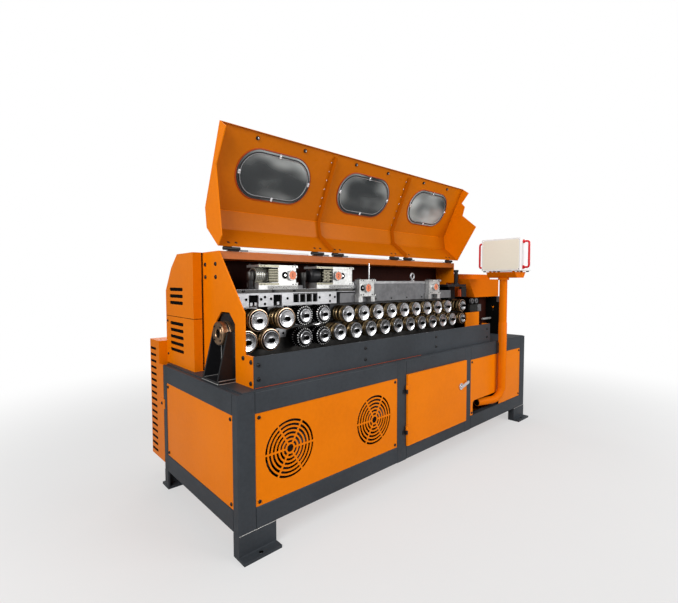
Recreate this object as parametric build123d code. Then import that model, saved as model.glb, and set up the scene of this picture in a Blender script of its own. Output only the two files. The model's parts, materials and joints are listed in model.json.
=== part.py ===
"""Steel bar straightening machine: steel base cabinet, roller bed, lifting hood and control head.

Frame: +X runs from the bar entry to the exit, +Y from the front to the back and +Z up.
The origin is on the floor, under the middle of the base cabinet. All lengths are millimetres.
Sizes build on each other: the pass line stands on the table, the bridge over the rollers, the bay
over the bridge, and the hood turns about a hinge on the bay.
"""
import os
from math import atan2, cos, hypot, radians, sin

from build123d import *

# Base cabinet
base_length = 2880
base_width = 900
table_height = 745
table_thickness = 6
table_front_inset = 2
table_end_inset = 25
frame_bottom = 110
post_width = 90
tube_depth = 50
tube_corner = 5
rail_height = 100
door_post_share = 0.376
right_post_share = 0.6451

# Feet
foot_width = 195
foot_reach = 47
foot_plate_thickness = 14
foot_channel_wall = 10
foot_hole_diameter = 22
foot_hole_inset = 24

# Sheet panels of the cabinet, with two fan grilles in the left one
panel_thickness = 3
panel_recess = 4
fit_gap = 0.3
grille_radius = 142
grille_hole_radius = 19
grille_spoke_width = 9
grille_rings = 6
grille_spokes = 3
grille_slot_share = 0.58
grille_shares = (0.194, 0.795)
grille_height_share = 0.513
pipe_notch_inset = 37
pipe_notch_length = 420
pipe_notch_height = 110
pipe_notch_corner = 30

# Cabinet door, its hinges and its latch
door_lap_side = 6
door_lap_height = 12
door_depth = 12
door_skin = 2
door_stand_off = 1
door_hinge_shares = (0.23, 0.8)
hinge_barrel_radius = 7
hinge_barrel_half = 26
hinge_pin_radius = 3
hinge_pin_gap = 0.2
hinge_barrel_gap = 1
hinge_leaf_thickness = 4
hinge_leaf_width = 26
hinge_tab_width = 20
latch_side_inset = 84
latch_height_share = 0.603
latch_radius = 24
latch_thickness = 8
latch_lever_length = 106
latch_lever_width = 22
latch_lever_thickness = 10
latch_lever_tilt = 14

# Side plates and the bay that they close
side_plate_station = 102
side_plate_thickness = 8
right_plate_gap = 35
right_plate_notch_gap = 14
plate_tab_front = 34
apron_height = 146
plate_front = 111
plate_knee_rise = 109
plate_top_front = 363
arch_middle = 299
arch_width = 200
arch_rise = 104
arch_chamfer_width = 57
arch_chamfer_height = 52
apron_thickness = 8
apron_bracket_depth = 60
exit_guard_lead = 45
exit_guard_length = 222
exit_guard_height = 221
exit_guard_thickness = 8
exit_guard_gap = 14
bay_headroom = 30
beam_height = 40
beam_sheet = 6
rear_wall_thickness = 4

# Rollers: the pass line runs between a lower and an upper row
pass_rise = 232
feed_bite = 5.5
gear_gap = 8
roller_lead = 54
roller_length = 100
roller_neck = 12
roller_bearing_depth = 30
shaft_diameter = 46
shaft_gap = 0.3
entry_gap = 11
feed_gap = 22
feed_stagger_share = 0.49
upper_feed_gap = 55
gear_lead = 16
gear_pitch_gap = 30
straight_lead = 18.5
straight_gap = 33.5
straight_count = 10
exit_lead = 53
feed_diameter = 118
gear_diameter = 110
straight_diameter = 105
exit_upper_diameter = 102
exit_lower_diameter = 90
groove_depth = 18
groove_width = 26
side_groove_depth = 9
side_groove_width = 14
side_groove_offset = 29
rim_chamfer = 4
cap_share = 0.78
cap_length = 8
hub_share = 0.3
hub_length = 5
tooth_count = 26
tooth_depth = 8
tooth_root_share = 0.42
tooth_tip_start_share = 0.52
tooth_tip_end_share = 0.9
tooth_ring_length = 36
bed_depth = 83
bed_left_gap = 20
bed_rise = 3
carrier_gap = 8

# Upper bridge over the feed and toothed rollers
bridge_gap = 22
bridge_overhang = 199
bridge_set = 5
bridge_thickness = 22
slide_width = 108
head_gap = 7
web_height = 68
web_window_drop = 7
web_end_share = 0.811
web_notch_shares = ((0.091, 0.16), (0.269, 0.334))
web_cell_shares = ((0.425, 0.472), (0.48, 0.527), (0.535, 0.582), (0.59, 0.632))
web_sill = 15
bridge_stud_shares = (0.137, 0.55)
bridge_stud_depth_share = 0.25
bridge_stud_radius = 15
bridge_stud_height = 92

# Press beam over the straightening rollers
press_end_margin = 60
press_set = 17
press_gap = 8
press_block_gap = 8
press_block_inset = 172
press_block_height = 74
eye_share = 0.689
eye_inset = 38
eye_radius = 20
eye_bar_radius = 6
eye_post_height = 16

# Screw jacks
jack_disc_radius = 28
jack_disc_thickness = 6
jack_disc_offset = 48
jack_flange = 12
jack_lip = 8
bridge_jack_shares = (0.358, 0.882)
bridge_jack_width = 175
bridge_jack_depth = 120
bridge_jack_height = 106
jack_pad_height = 22
jack_motor_radius = 40
jack_motor_lengths = (75, 125)
jack_motor_core_share = 0.8
jack_fins = 7
jack_fin_share = 0.5
press_jack_shares = (0.084, 0.885)
press_jack_width = 150
press_jack_depth = 42
press_jack_height = 107
press_jack_drop = 24
press_jack_leg = 36

# Exit slide and bar cutter
exit_slide_width = 100
exit_plate_lead = 230
exit_plate_thickness = 18
exit_slide_rise = 88
exit_screw_radius = 15
exit_screw_inset = 66
exit_screw_rise = 10
exit_knob_radius = 20
exit_knob_height = 18
cutter_gap = 35
cutter_length = 535
cutter_front = 330
cutter_plinth_lead = 155
cutter_plinth_height = 120
cutter_head_lead = 315
cutter_back_thickness = 24
cutter_rod_radius = 11
cutter_rod_inset = 50
cutter_rod_rise = 160
cutter_hood_rise = 117
cutter_hood_height = 158
cutter_hood_front = 245
cutter_hood_lead = 7
cutter_hood_slant = 112
cutter_hood_sheet = 4
cutter_cap_front = 332
cutter_cap_height = 45

# Entry guide
guide_base_thickness = 12
guide_base_gap = 5
guide_base_left = 16
guide_gap = 4
guide_plate_thickness = 14
guide_plate_width = 164
guide_top_gap = 6
guide_top_width = 104
guide_shoulder_drop = 51
gusset_thickness = 12
gusset_rise = 13
gusset_foot_length = 96
gusset_head_length = 40
ring_diameter = 116
ring_bore = 44
ring_length = 52

# Drive housing behind the roller bay
bay_depth_behind_bed = 105
drive_left = 47
drive_right_gap = 5
drive_gap = 6
drive_depth = 406
drive_top_depth = 219
drive_shoulder_depth = 312
drive_shoulder_drop = 76
drive_eave_drop = 209
louvre_lead = 144
louvre_length = 200
louvre_height = 20
louvre_depth = 16
upper_louvres = 3
upper_louvre_drop = 70
lower_louvres = 5
lower_louvre_rise = 89
louvre_pitch = 39

# Louvred box behind the base
rear_box_gap = 60
rear_drive_gap = 3
rear_box_depth = 156
rear_box_length = 460
rear_box_drop = 40
rear_box_rise = 131
rear_flange_thickness = 6
rear_lid_depth = 20
rear_lid_inset = 20
rear_lid_shares = (0.477, 0.886)
rear_slots = 17
rear_slot_length = 30
rear_slot_height = 13
rear_slot_pitch = 39.8
rear_slot_first = 35
rear_slot_inset = 9

# Hood: rests open, and turns about its hinge to close the roller bay; points are taken from the hinge
hood_hinge_lead = 11
hood_hinge_rise = 13
hood_end_gap = 5
hood_right_gap = 27
hood_plate_thickness = 5
hood_sheet = 3
hood_lip_length = 14
hood_top_y = -46
hood_top_z = 616
hood_back_y = 135
hood_back_z = 219
hood_heel_y = 120
hood_heel_z = 112
hood_root_y = -6
hood_root_z = 10
hood_lip_y = -106
hood_lip_z = 573
hood_bend_y = 4
hood_bend_z = 412
hood_toe_y = -47
hood_toe_z = 58
end_cover_y = -177
end_cover_z = 284
end_arch_y = -50
end_arch_z = 391
end_step_y = -71
end_step_z = 463
end_notch_y = -41
end_notch_z = 496
hood_rib_shares = (0.3418, 0.6709)
hood_rib_thickness = 5
hood_rib_depth = 28
hood_rib_top_gap = 24
window_shares = (0.1695, 0.4964, 0.8278)
window_length = 450
window_height = 232
window_centre_share = 0.5
pane_thickness = 4
pane_lap = 16
hood_hinge_shares = (0.0352, 0.2935, 0.3688, 0.6195, 0.6912, 0.9414)
hood_hinge_radius = 9
hood_hinge_half = 47
hood_hinge_leaf = 46
hood_leaf_thickness = 4
hood_foot_depth = 58
hood_foot_start = 4
hood_foot_thickness = 7

# Control head on its bent pipe
pipe_lead = 29
pipe_front = 35
pipe_diameter = 60
pipe_rise = 498
pipe_run_rise = 62
pipe_bend_radius = 110
pipe_run_length = 268
pipe_run_angle = 17
clamp_width = 50
clamp_height = 90
clamp_drop = 4
collar_diameter = 84
collar_height = 18
tray_width = 240
tray_depth = 192
tray_height = 46
tray_floor_share = 0.62
tray_foot = 8
tray_foot_size = 20
tray_foot_inset = 14
control_width = 319
control_depth = 196
control_height = 256
control_reach = 60
control_edge = 6
handle_bar_radius = 8
handle_reach = 45
handle_height = 200
handle_inset = 28
handle_offset = 50

overrun = 20

left = -base_length / 2
right = base_length / 2
front = -base_width / 2
back = base_width / 2
frame_top = table_height - table_thickness
opening_bottom = frame_bottom + rail_height
opening_top = frame_top - rail_height


def share_of(span, share):
    """The place a share of the way along a span."""
    return span[0] + share * (span[1] - span[0])


def block(x, y, z):
    """A box between the low and high ends given for each axis."""
    size = (x[1] - x[0], y[1] - y[0], z[1] - z[0])
    middle = ((x[0] + x[1]) / 2, (y[0] + y[1]) / 2, (z[0] + z[1]) / 2)
    return Pos(*middle) * Box(*size)


def profile_along_x(points, start, end):
    """A (y, z) outline carried along X from start to end."""
    outline = Plane.YZ.offset(start) * Polygon(*points, align=None)
    return extrude(outline, end - start, dir=(1, 0, 0))


def profile_along_y(points, start, end):
    """An (x, z) outline carried along Y from start to end."""
    outline = Plane.XZ.offset(-start) * Polygon(*points, align=None)
    return extrude(outline, end - start, dir=(0, 1, 0))


def rod_x(y, z, radius, start, end):
    """A round bar along X."""
    return extrude(Plane.YZ.offset(start) * Pos(y, z) * Circle(radius), end - start)


def rod_y(x, z, radius, start, end):
    """A round bar along Y."""
    return extrude(Plane.XZ.offset(-end) * Pos(x, z) * Circle(radius), end - start)


def rod_z(x, y, radius, start, end):
    """A round bar along Z."""
    return extrude(Plane.XY.offset(start) * Pos(x, y) * Circle(radius), end - start)


def slot_along_x(y, z, length, height, start, end):
    """A bar with a rounded slot for its outline, long side along Y, carried along X."""
    return extrude(Plane.YZ.offset(start) * Pos(y, z) * SlotOverall(length, height), end - start)


def turned_y(points, x, y, z):
    """A (radius, distance) outline turned about an axis along Y."""
    return Pos(x, y, z) * revolve(Polygon(*points, align=None), Axis.Y)


os.makedirs("parts", exist_ok=True)


def save(name, *solids):
    """Write one node from solids that do not touch."""
    shape = solids[0] if len(solids) == 1 else Compound(children=list(solids))
    export_step(shape, os.path.join("parts", name + ".step"))


# Base frame: posts run the full height and the rails butt between them, all with rounded tube corners
post_stations = (0, door_post_share * base_length, right_post_share * base_length, base_length - post_width)
sides = ((front, front + tube_depth), (back - tube_depth, back))


def tube(x, y, z, axis):
    """A square tube, drawn solid, with the corners along its length rounded."""
    bar = block(x, y, z)
    return fillet(bar.edges().filter_by(axis), tube_corner)


posts = [
    tube((left + s, left + s + post_width), side, (frame_bottom, frame_top), Axis.Z)
    for side in sides
    for s in post_stations
]
save("frame_posts", *posts)

rail_levels = ((frame_bottom, opening_bottom), (opening_top, frame_top))
bays = [
    (left + a + post_width, left + b) for a, b in zip(post_stations[:-1], post_stations[1:])
]
end_walls = ((left, left + tube_depth), (right - tube_depth, right))
rails = [tube(bay, side, level, Axis.X) for side in sides for bay in bays for level in rail_levels]
end_span = (front + tube_depth, back - tube_depth)
rails += [tube(wall, end_span, level, Axis.Y) for wall in end_walls for level in rail_levels]
save("frame_rails", *rails)


def foot(x, facing):
    """A channel leg on a foot plate that reaches out past the cabinet; facing is -1 at the front."""
    face = facing * base_width / 2
    inner = face - facing * tube_depth
    outer = face + facing * foot_reach
    spread = (x, x + foot_width)
    plate = block(spread, sorted((inner, outer)), (0, foot_plate_thickness))
    hole_y = outer - facing * foot_hole_inset
    plate -= rod_z(x + foot_width / 2, hole_y, foot_hole_diameter / 2, -overrun,
                   foot_plate_thickness + overrun)
    leg = block(spread, sorted((inner, face)), (foot_plate_thickness, frame_bottom))
    hollow_x = (x + foot_channel_wall, x + foot_width - foot_channel_wall)
    hollow_y = sorted((inner - facing * overrun, face - facing * foot_channel_wall))
    leg -= block(hollow_x, hollow_y, (foot_plate_thickness, frame_bottom))
    return plate + leg


foot_starts = (left, right - foot_width)
save("feet", *[foot(x, facing) for facing in (-1, 1) for x in foot_starts])

table = block(
    (left + table_end_inset, right - table_end_inset),
    (front + table_front_inset, back - table_front_inset),
    (frame_top, table_height),
)
save("table_plate", table)

# Cabinet panels
panel_front = front + panel_recess
panel_y = (panel_front, panel_front + panel_thickness)
panel_z = (opening_bottom + fit_gap, opening_top - fit_gap)


def bay_panel(bay, y):
    """A sheet that fills one bay of the frame."""
    return block((bay[0] + fit_gap, bay[1] - fit_gap), y, panel_z)


def grille_cut(x, z):
    """A fan grille: rings of slots about a round hole, broken by straight spokes."""
    pitch = (grille_radius - grille_hole_radius) / grille_rings
    slot = pitch * grille_slot_share
    outers = [grille_hole_radius + pitch * (ring + 1) for ring in range(grille_rings)]
    rings = Sketch() + [Circle(outer) - Circle(outer - slot) for outer in outers]
    spokes = Sketch() + [
        Rot(0, 0, turn * 180 / grille_spokes) * Rectangle(2 * grille_radius + overrun, grille_spoke_width)
        for turn in range(grille_spokes)
    ]
    pattern = (rings - spokes) + Circle(grille_hole_radius)
    return extrude(Plane.XZ.offset(-panel_y[1] - overrun) * Pos(x, z) * pattern,
                   panel_thickness + 2 * overrun)


vent = bay_panel(bays[0], panel_y)
for share in grille_shares:
    vent -= grille_cut(share_of(bays[0], share), share_of((opening_bottom, opening_top), grille_height_share))
save("vent_panel", vent)

notch_x = (bays[2][0] + pipe_notch_inset, bays[2][0] + pipe_notch_inset + pipe_notch_length)
notch = block(notch_x, (panel_y[0] - overrun, panel_y[1] + overrun),
              (opening_bottom - pipe_notch_corner, opening_bottom + pipe_notch_height))
pipe_panel = bay_panel(bays[2], panel_y) - fillet(notch.edges().filter_by(Axis.Y), pipe_notch_corner)
rear_y = (-panel_y[1], -panel_y[0])
rear_panels = [bay_panel(bay, rear_y) for bay in bays]
end_y = (end_span[0] + fit_gap, end_span[1] - fit_gap)
end_left = block((left + panel_recess, left + panel_recess + panel_thickness), end_y, panel_z)
end_right = block((right - panel_recess - panel_thickness, right - panel_recess), end_y, panel_z)
floor_sheet = block(
    (left + tube_depth + fit_gap, right - tube_depth - fit_gap),
    (end_span[0] + fit_gap, end_span[1] - fit_gap),
    (frame_bottom, frame_bottom + panel_thickness),
)
save("closing_panels", pipe_panel, *rear_panels, end_left, end_right, floor_sheet)

# Cabinet door, laid over its opening
door_x = (bays[1][0] - door_lap_side, bays[1][1] + door_lap_side)
door_z = (opening_bottom - door_lap_height, opening_top + door_lap_height)
door_back = front - door_stand_off
door_front = door_back - door_depth
hinge_x = door_x[0] - hinge_barrel_radius - hinge_barrel_gap
hinge_y = door_front
door = block(door_x, (door_front, door_back), door_z)
door -= block(
    (door_x[0] + door_skin, door_x[1] - door_skin),
    (door_front + door_skin, door_back + overrun),
    (door_z[0] + door_skin, door_z[1] - door_skin),
)
fixed_halves = []
for share in door_hinge_shares:
    height = share_of(door_z, share)
    low = (height - hinge_barrel_half, height - fit_gap / 2)
    high = (height + fit_gap / 2, height + hinge_barrel_half)
    knuckle = rod_z(hinge_x, hinge_y, hinge_barrel_radius, *high)
    tab = block((hinge_x, door_x[0] + hinge_tab_width),
                (door_front - hinge_leaf_thickness, door_front), high)
    bore = rod_z(hinge_x, hinge_y, hinge_pin_radius + hinge_pin_gap, low[0], high[1] + overrun)
    door += (knuckle + tab) - bore
    barrel = rod_z(hinge_x, hinge_y, hinge_barrel_radius, *low)
    stem = block((hinge_x - hinge_barrel_radius, hinge_x), (hinge_y, front), low)
    leaf = block((hinge_x - hinge_leaf_width, hinge_x), (front - hinge_leaf_thickness, front), low)
    pin = rod_z(hinge_x, hinge_y, hinge_pin_radius, low[0], high[1])
    fixed_halves.append(barrel + stem + leaf + pin)
save("cabinet_door", door)
save("door_hinges", *fixed_halves)

latch_x = door_x[1] - latch_side_inset
latch_z = share_of(door_z, latch_height_share)
latch_face = door_front - fit_gap
latch = rod_y(latch_x, latch_z, latch_radius, latch_face - latch_thickness, latch_face)
lever = SlotOverall(latch_lever_length, latch_lever_width)
lever = Pos((latch_lever_length - latch_lever_width) / 2, 0) * lever
latch += extrude(Plane.XZ.offset(latch_thickness - latch_face) * Pos(latch_x, latch_z)
                 * Rot(0, 0, latch_lever_tilt) * lever, latch_lever_thickness)
save("door_latch", latch)

# Heights and stations of the roller bank
pass_height = table_height + pass_rise
axis_offset = feed_diameter / 2 - feed_bite
gear_axis_offset = gear_diameter / 2 + gear_gap
lower_axis = pass_height - axis_offset
upper_axis = pass_height + axis_offset
bed_top = pass_height + bed_rise
carrier_bottom = bed_top + carrier_gap
roller_tops = (
    axis_offset + feed_diameter / 2,
    axis_offset + straight_diameter / 2,
    gear_axis_offset + gear_diameter / 2,
)
web_bottom = pass_height + max(roller_tops) + head_gap
bridge_bottom = web_bottom + web_height
bridge_top = bridge_bottom + bridge_thickness
jack_bottom = bridge_top + jack_pad_height
jack_top = jack_bottom + bridge_jack_height
bay_height = jack_top + bay_headroom + beam_height

plate_x = (left + side_plate_station, left + side_plate_station + side_plate_thickness)
stand_x = (plate_x[1] + guide_gap, plate_x[1] + guide_gap + guide_plate_thickness)
first_feed = stand_x[1] + entry_gap + feed_diameter / 2
feed_pitch = feed_diameter + feed_gap
lower_feed = (first_feed, first_feed + feed_pitch)
upper_feed_start = first_feed + feed_pitch * feed_stagger_share
upper_feed = (upper_feed_start, upper_feed_start + feed_diameter + upper_feed_gap)
gear_start = upper_feed[1] + (feed_diameter + gear_diameter) / 2 + gear_lead
gears = (gear_start, gear_start + gear_diameter + gear_pitch_gap)
straight_start = gears[1] + (gear_diameter + straight_diameter) / 2 + straight_lead
straight_pitch = straight_diameter + straight_gap
straight_lower = [straight_start + straight_pitch * i for i in range(straight_count)]
straight_upper = [s + straight_pitch / 2 for s in straight_lower[:-1]]
exit_middle = straight_lower[-1] + (straight_diameter + exit_upper_diameter) / 2 + exit_lead

roller_y = front + arch_middle - roller_lead
carrier_y = roller_y + roller_length + roller_neck
bed_back = carrier_y + bed_depth
bay_back = bed_back + bay_depth_behind_bed
wall_front = bay_back - rear_wall_thickness
bridge_y = (roller_y + bridge_set, bed_back)
press_y = (roller_y + press_set, bed_back)

exit_x = (exit_middle - exit_slide_width / 2, exit_middle + exit_slide_width / 2)
exit_slide_top = web_bottom + exit_slide_rise
exit_plate_top = exit_slide_top + exit_plate_thickness
right_plate_x = (exit_middle + right_plate_gap, exit_middle + right_plate_gap + side_plate_thickness)
bay_x = (plate_x[1], right_plate_x[0])

# Side plates, apron, beam and rear wall of the roller bay
tab_top = table_height + apron_height
arch_height = pass_height + arch_rise
left_outline = (
    (front + plate_tab_front, table_height),
    (front + plate_tab_front, tab_top),
    (front + plate_front, tab_top),
    (front + plate_front, pass_height + plate_knee_rise),
    (front + plate_top_front, bay_height),
    (bay_back, bay_height),
    (bay_back, table_height),
)
arch_front = front + arch_middle - arch_width / 2
arch_back = front + arch_middle + arch_width / 2
arch_outline = (
    (arch_front, table_height - overrun),
    (arch_front, arch_height - arch_chamfer_height),
    (arch_front + arch_chamfer_width, arch_height),
    (arch_back - arch_chamfer_width, arch_height),
    (arch_back, arch_height - arch_chamfer_height),
    (arch_back, table_height - overrun),
)
left_plate = profile_along_x(left_outline, *plate_x)
left_plate -= profile_along_x(arch_outline, plate_x[0] - overrun, plate_x[1] + overrun)
right_plate = block(right_plate_x, (front + plate_top_front, bay_back), (table_height, bay_height))
right_plate -= block((right_plate_x[0] - overrun, right_plate_x[1] + overrun),
                     (front + plate_top_front - overrun, bed_back),
                     (table_height - overrun, exit_plate_top + right_plate_notch_gap))
apron_back = front + plate_tab_front
bracket = block(right_plate_x, (apron_back, apron_back + apron_bracket_depth), (table_height, tab_top))
guard_x = (exit_middle + exit_guard_lead, exit_middle + exit_guard_lead + exit_guard_length)
guard_y = (roller_y, roller_y + exit_guard_thickness)
guard = block(guard_x, guard_y, (table_height, table_height + exit_guard_height))
for axis_z, diameter in ((lower_axis, exit_lower_diameter), (upper_axis, exit_upper_diameter)):
    guard -= rod_y(exit_middle, axis_z, diameter / 2 + exit_guard_gap, guard_y[0] - overrun,
                   guard_y[1] + overrun)
save("side_plates", left_plate, right_plate, bracket, guard)

apron = block((plate_x[0], right_plate_x[1]), (apron_back - apron_thickness, apron_back),
              (table_height, tab_top))
save("apron_plate", apron)

beam_y = (front + plate_top_front, bay_back)
beam_z = (bay_height - beam_height, bay_height)
beam = block(bay_x, beam_y, beam_z)
beam -= block(bay_x, (beam_y[0] + beam_sheet, beam_y[1] - beam_sheet),
              (beam_z[0] - overrun, beam_z[1] - beam_sheet))
save("top_beam", beam)

rear_wall = block(bay_x, (wall_front, bay_back), (table_height, beam_z[0]))
save("rear_wall", rear_wall)

# Rollers turn about axes along Y, in bearings of the bed, the slides and the press beam
shaft_end = roller_length + roller_neck + roller_bearing_depth - shaft_gap


def vee(radius, middle, width, depth):
    """Three outline points of a vee groove turned into a roller."""
    return (
        (radius, middle - width / 2),
        (radius - depth, middle),
        (radius, middle + width / 2),
    )


def shafted(radius, rim):
    """A roller outline: hub, bright end cap, the rim given and the shaft behind."""
    return (
        (0, -hub_length),
        (radius * hub_share, -hub_length),
        (radius * hub_share, 0),
        (radius * cap_share, 0),
        (radius * cap_share, cap_length),
        *rim,
        (shaft_diameter / 2, roller_length),
        (shaft_diameter / 2, shaft_end),
        (0, shaft_end),
    )


def grooved_roller(station, axis_z, diameter):
    """A turned roller with a deep vee on the pass line and a shallow one on each side of it."""
    radius = diameter / 2
    rim = (
        (radius - rim_chamfer, cap_length),
        (radius, cap_length + rim_chamfer),
        *vee(radius, roller_lead - side_groove_offset, side_groove_width, side_groove_depth),
        *vee(radius, roller_lead, groove_width, groove_depth),
        *vee(radius, roller_lead + side_groove_offset, side_groove_width, side_groove_depth),
        (radius, roller_length),
    )
    return turned_y(shafted(radius, rim), station, roller_y, axis_z)


def toothed_roller(station, axis_z, diameter):
    """A feed wheel: two toothed rings with the pass groove between them."""
    radius = diameter / 2
    root = radius - tooth_depth
    core = radius - groove_depth
    rim = ((core, cap_length), (core, roller_length))
    wheel = turned_y(shafted(radius, rim), station, roller_y, axis_z)
    corners = (
        (root, 0),
        (root, tooth_root_share),
        (radius, tooth_tip_start_share),
        (radius, tooth_tip_end_share),
    )
    outline = [
        (reach * cos(radians((tooth + share) * 360 / tooth_count)),
         reach * sin(radians((tooth + share) * 360 / tooth_count)))
        for tooth in range(tooth_count)
        for reach, share in corners
    ]
    face = Pos(station, axis_z) * Polygon(*outline, align=None)
    for end in (roller_y + cap_length + tooth_ring_length, roller_y + roller_length):
        wheel += extrude(Plane.XZ.offset(-end) * face, tooth_ring_length)
    return wheel


rollers = {}
for number, station in enumerate(lower_feed, 1):
    rollers[f"lower_feed_roller_{number}"] = (station, lower_axis, feed_diameter)
for number, station in enumerate(upper_feed, 1):
    rollers[f"upper_feed_roller_{number}"] = (station, upper_axis, feed_diameter)
for number, station in enumerate(gears, 1):
    rollers[f"lower_toothed_roller_{number}"] = (station, pass_height - gear_axis_offset, gear_diameter)
    rollers[f"upper_toothed_roller_{number}"] = (station, pass_height + gear_axis_offset, gear_diameter)
for number, station in enumerate(straight_lower, 1):
    rollers[f"lower_roller_{number:02d}"] = (station, lower_axis, straight_diameter)
for number, station in enumerate(straight_upper, 1):
    rollers[f"upper_roller_{number:02d}"] = (station, upper_axis, straight_diameter)
rollers["lower_exit_roller"] = (exit_middle, lower_axis, exit_lower_diameter)
rollers["upper_exit_roller"] = (exit_middle, upper_axis, exit_upper_diameter)
for name, (station, axis_z, diameter) in rollers.items():
    make = toothed_roller if "toothed" in name else grooved_roller
    save(name, make(station, axis_z, diameter))


def bored(carrier, names):
    """Bore the bearing of each named roller into its carrier."""
    for name in names:
        station, axis_z, _ = rollers[name]
        carrier -= rod_y(station, axis_z, shaft_diameter / 2 + shaft_gap,
                         carrier_y - overrun, carrier_y + roller_bearing_depth)
    return carrier


bed = block((bay_x[0] + bed_left_gap, exit_x[1]), (carrier_y, bed_back), (table_height, bed_top))
save("roller_bed", bored(bed, [name for name in rollers if name.startswith("lower")]))

# Upper bridge: a plate on a slotted web, with a bearing slide behind it for each roller
bridge_x = (bay_x[0] + bridge_gap, gears[1] + slide_width / 2 + bridge_overhang)
bridge = block(bridge_x, bridge_y, (bridge_bottom, bridge_top))
web_x = (bridge_x[0], share_of(bridge_x, web_end_share))
web = block(web_x, (bridge_y[0], carrier_y), (web_bottom, bridge_bottom))
cut_y = (bridge_y[0] - overrun, carrier_y + overrun)
window_top = bridge_bottom - web_window_drop
for shares in web_notch_shares:
    cut_x = [share_of(bridge_x, share) for share in shares]
    web -= block(cut_x, cut_y, (web_bottom - overrun, window_top))
for shares in web_cell_shares:
    cut_x = [share_of(bridge_x, share) for share in shares]
    web -= block(cut_x, cut_y, (web_bottom + web_sill, window_top))
bridge += web
bridge_names = [name for name in rollers if name.startswith(("upper_feed", "upper_toothed"))]
for name in bridge_names:
    middle = rollers[name][0]
    bridge += block((middle - slide_width / 2, middle + slide_width / 2), (carrier_y, wall_front),
                    (carrier_bottom, bridge_bottom))
for share in bridge_stud_shares:
    bridge += rod_z(share_of(bridge_x, share), share_of(bridge_y, bridge_stud_depth_share),
                    bridge_stud_radius, bridge_top, bridge_top + bridge_stud_height)
save("upper_bridge", bored(bridge, bridge_names))

# Press beam: a long bearing block with a taller middle and a lifting eye
press_x = (straight_upper[0] - press_end_margin, straight_upper[-1] + press_end_margin)
press_block_x = (bridge_x[1] + press_block_gap, press_x[1] - press_block_inset)
press_shoulder = bridge_bottom - press_gap
press_top = press_shoulder + press_block_height
press = block(press_x, (carrier_y, wall_front), (carrier_bottom, press_shoulder))
press += block(press_x, (press_y[0], carrier_y), (web_bottom, press_shoulder))
press += block(press_block_x, press_y, (press_shoulder, press_top))
press = bored(press, [name for name in rollers if name.startswith("upper_roller")])
eye_x = share_of(press_block_x, eye_share)
eye_y = press_y[0] + eye_inset
eye_z = press_top + eye_post_height + eye_radius
press += Pos(eye_x, eye_y, eye_z) * Rot(90, 0, 0) * Torus(eye_radius, eye_bar_radius)
press += rod_z(eye_x, eye_y, eye_bar_radius, press_top, press_top + eye_post_height)
save("press_beam", press)


def jack_case(x, y, z):
    """A cast case between a bottom and a top flange, set back from their front edges."""
    case = block(x, y, (z[0], z[0] + jack_flange))
    case += block(x, y, (z[1] - jack_flange, z[1]))
    return case + block((x[0] + jack_lip, x[1] - jack_lip), (y[0] + jack_lip, y[1]), z)


def jack_disc(x, face, z):
    """The round number disc that closes the case's front."""
    middle = (z[0] + z[1]) / 2
    return rod_y(x, middle, jack_disc_radius, face - jack_disc_thickness, face + jack_lip)


def bridge_jack(share, disc_side, motor_length):
    """A screw jack on its pad over the bridge; its flanges run on over a finned motor to the left."""
    middle = share_of(bridge_x, share)
    x = (middle - bridge_jack_width / 2, middle + bridge_jack_width / 2)
    y = (bridge_y[0], bridge_y[0] + bridge_jack_depth)
    z = (jack_bottom, jack_top)
    start = x[0] - motor_length
    jack = jack_case(x, y, z) + block((start, x[1]), y, (bridge_top, jack_bottom + jack_flange))
    jack += block((start, x[1]), y, (z[1] - jack_flange, z[1]))
    motor_y = (y[0] + y[1]) / 2
    motor_z = (z[0] + z[1]) / 2
    jack += rod_x(motor_y, motor_z, jack_motor_radius * jack_motor_core_share, start, x[0] + jack_lip)
    pitch = motor_length / jack_fins
    for fin in range(jack_fins):
        edge = start + pitch * fin
        jack += rod_x(motor_y, motor_z, jack_motor_radius, edge, edge + pitch * jack_fin_share)
    return jack + jack_disc(middle + disc_side * jack_disc_offset, y[0], z)


def press_jack(share):
    """A screw jack on the front face of the press beam, over two legs."""
    middle = share_of(press_block_x, share)
    x = (middle - press_jack_width / 2, middle + press_jack_width / 2)
    y = (press_y[0] - press_jack_depth, press_y[0])
    z = (press_shoulder - press_jack_drop, press_shoulder - press_jack_drop + press_jack_height)
    jack = jack_case(x, y, z)
    for leg in ((x[0], x[0] + press_jack_leg), (x[1] - press_jack_leg, x[1])):
        jack += block(leg, (y[0] + jack_lip, y[1]), (web_bottom, z[0]))
    return jack + jack_disc(middle, y[0], z)


jack_sides = (1, -1)
jacks = [bridge_jack(*jack) for jack in zip(bridge_jack_shares, jack_sides, jack_motor_lengths)]
jacks += [press_jack(share) for share in press_jack_shares]
save("screw_jacks", *jacks)

# Exit slide with its screw, and the bar cutter
exit_slide = block(exit_x, (carrier_y, bed_back), (carrier_bottom, exit_slide_top))
exit_slide = bored(exit_slide, ["upper_exit_roller"])
exit_slide += block((exit_x[0], bay_x[1]), (bed_back, wall_front), (carrier_bottom, exit_slide_top))
exit_slide += block((exit_middle - exit_plate_lead, exit_x[1]), bridge_y, (exit_slide_top, exit_plate_top))
screw_y = bridge_y[0] + exit_screw_inset
screw_top = jack_top + exit_screw_rise
exit_slide += rod_z(exit_middle, screw_y, exit_screw_radius, exit_plate_top, screw_top)
exit_slide += rod_z(exit_middle, screw_y, exit_knob_radius, screw_top - exit_knob_height, screw_top)
cutter_x = (exit_x[1] + cutter_gap, exit_x[1] + cutter_gap + cutter_length)
cutter_y = (front + cutter_front, bay_back)
hood_floor = pass_height + cutter_hood_rise
plinth_top = table_height + cutter_plinth_height
cutter = block((cutter_x[0] + cutter_plinth_lead, cutter_x[1]), cutter_y, (table_height, plinth_top))
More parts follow.
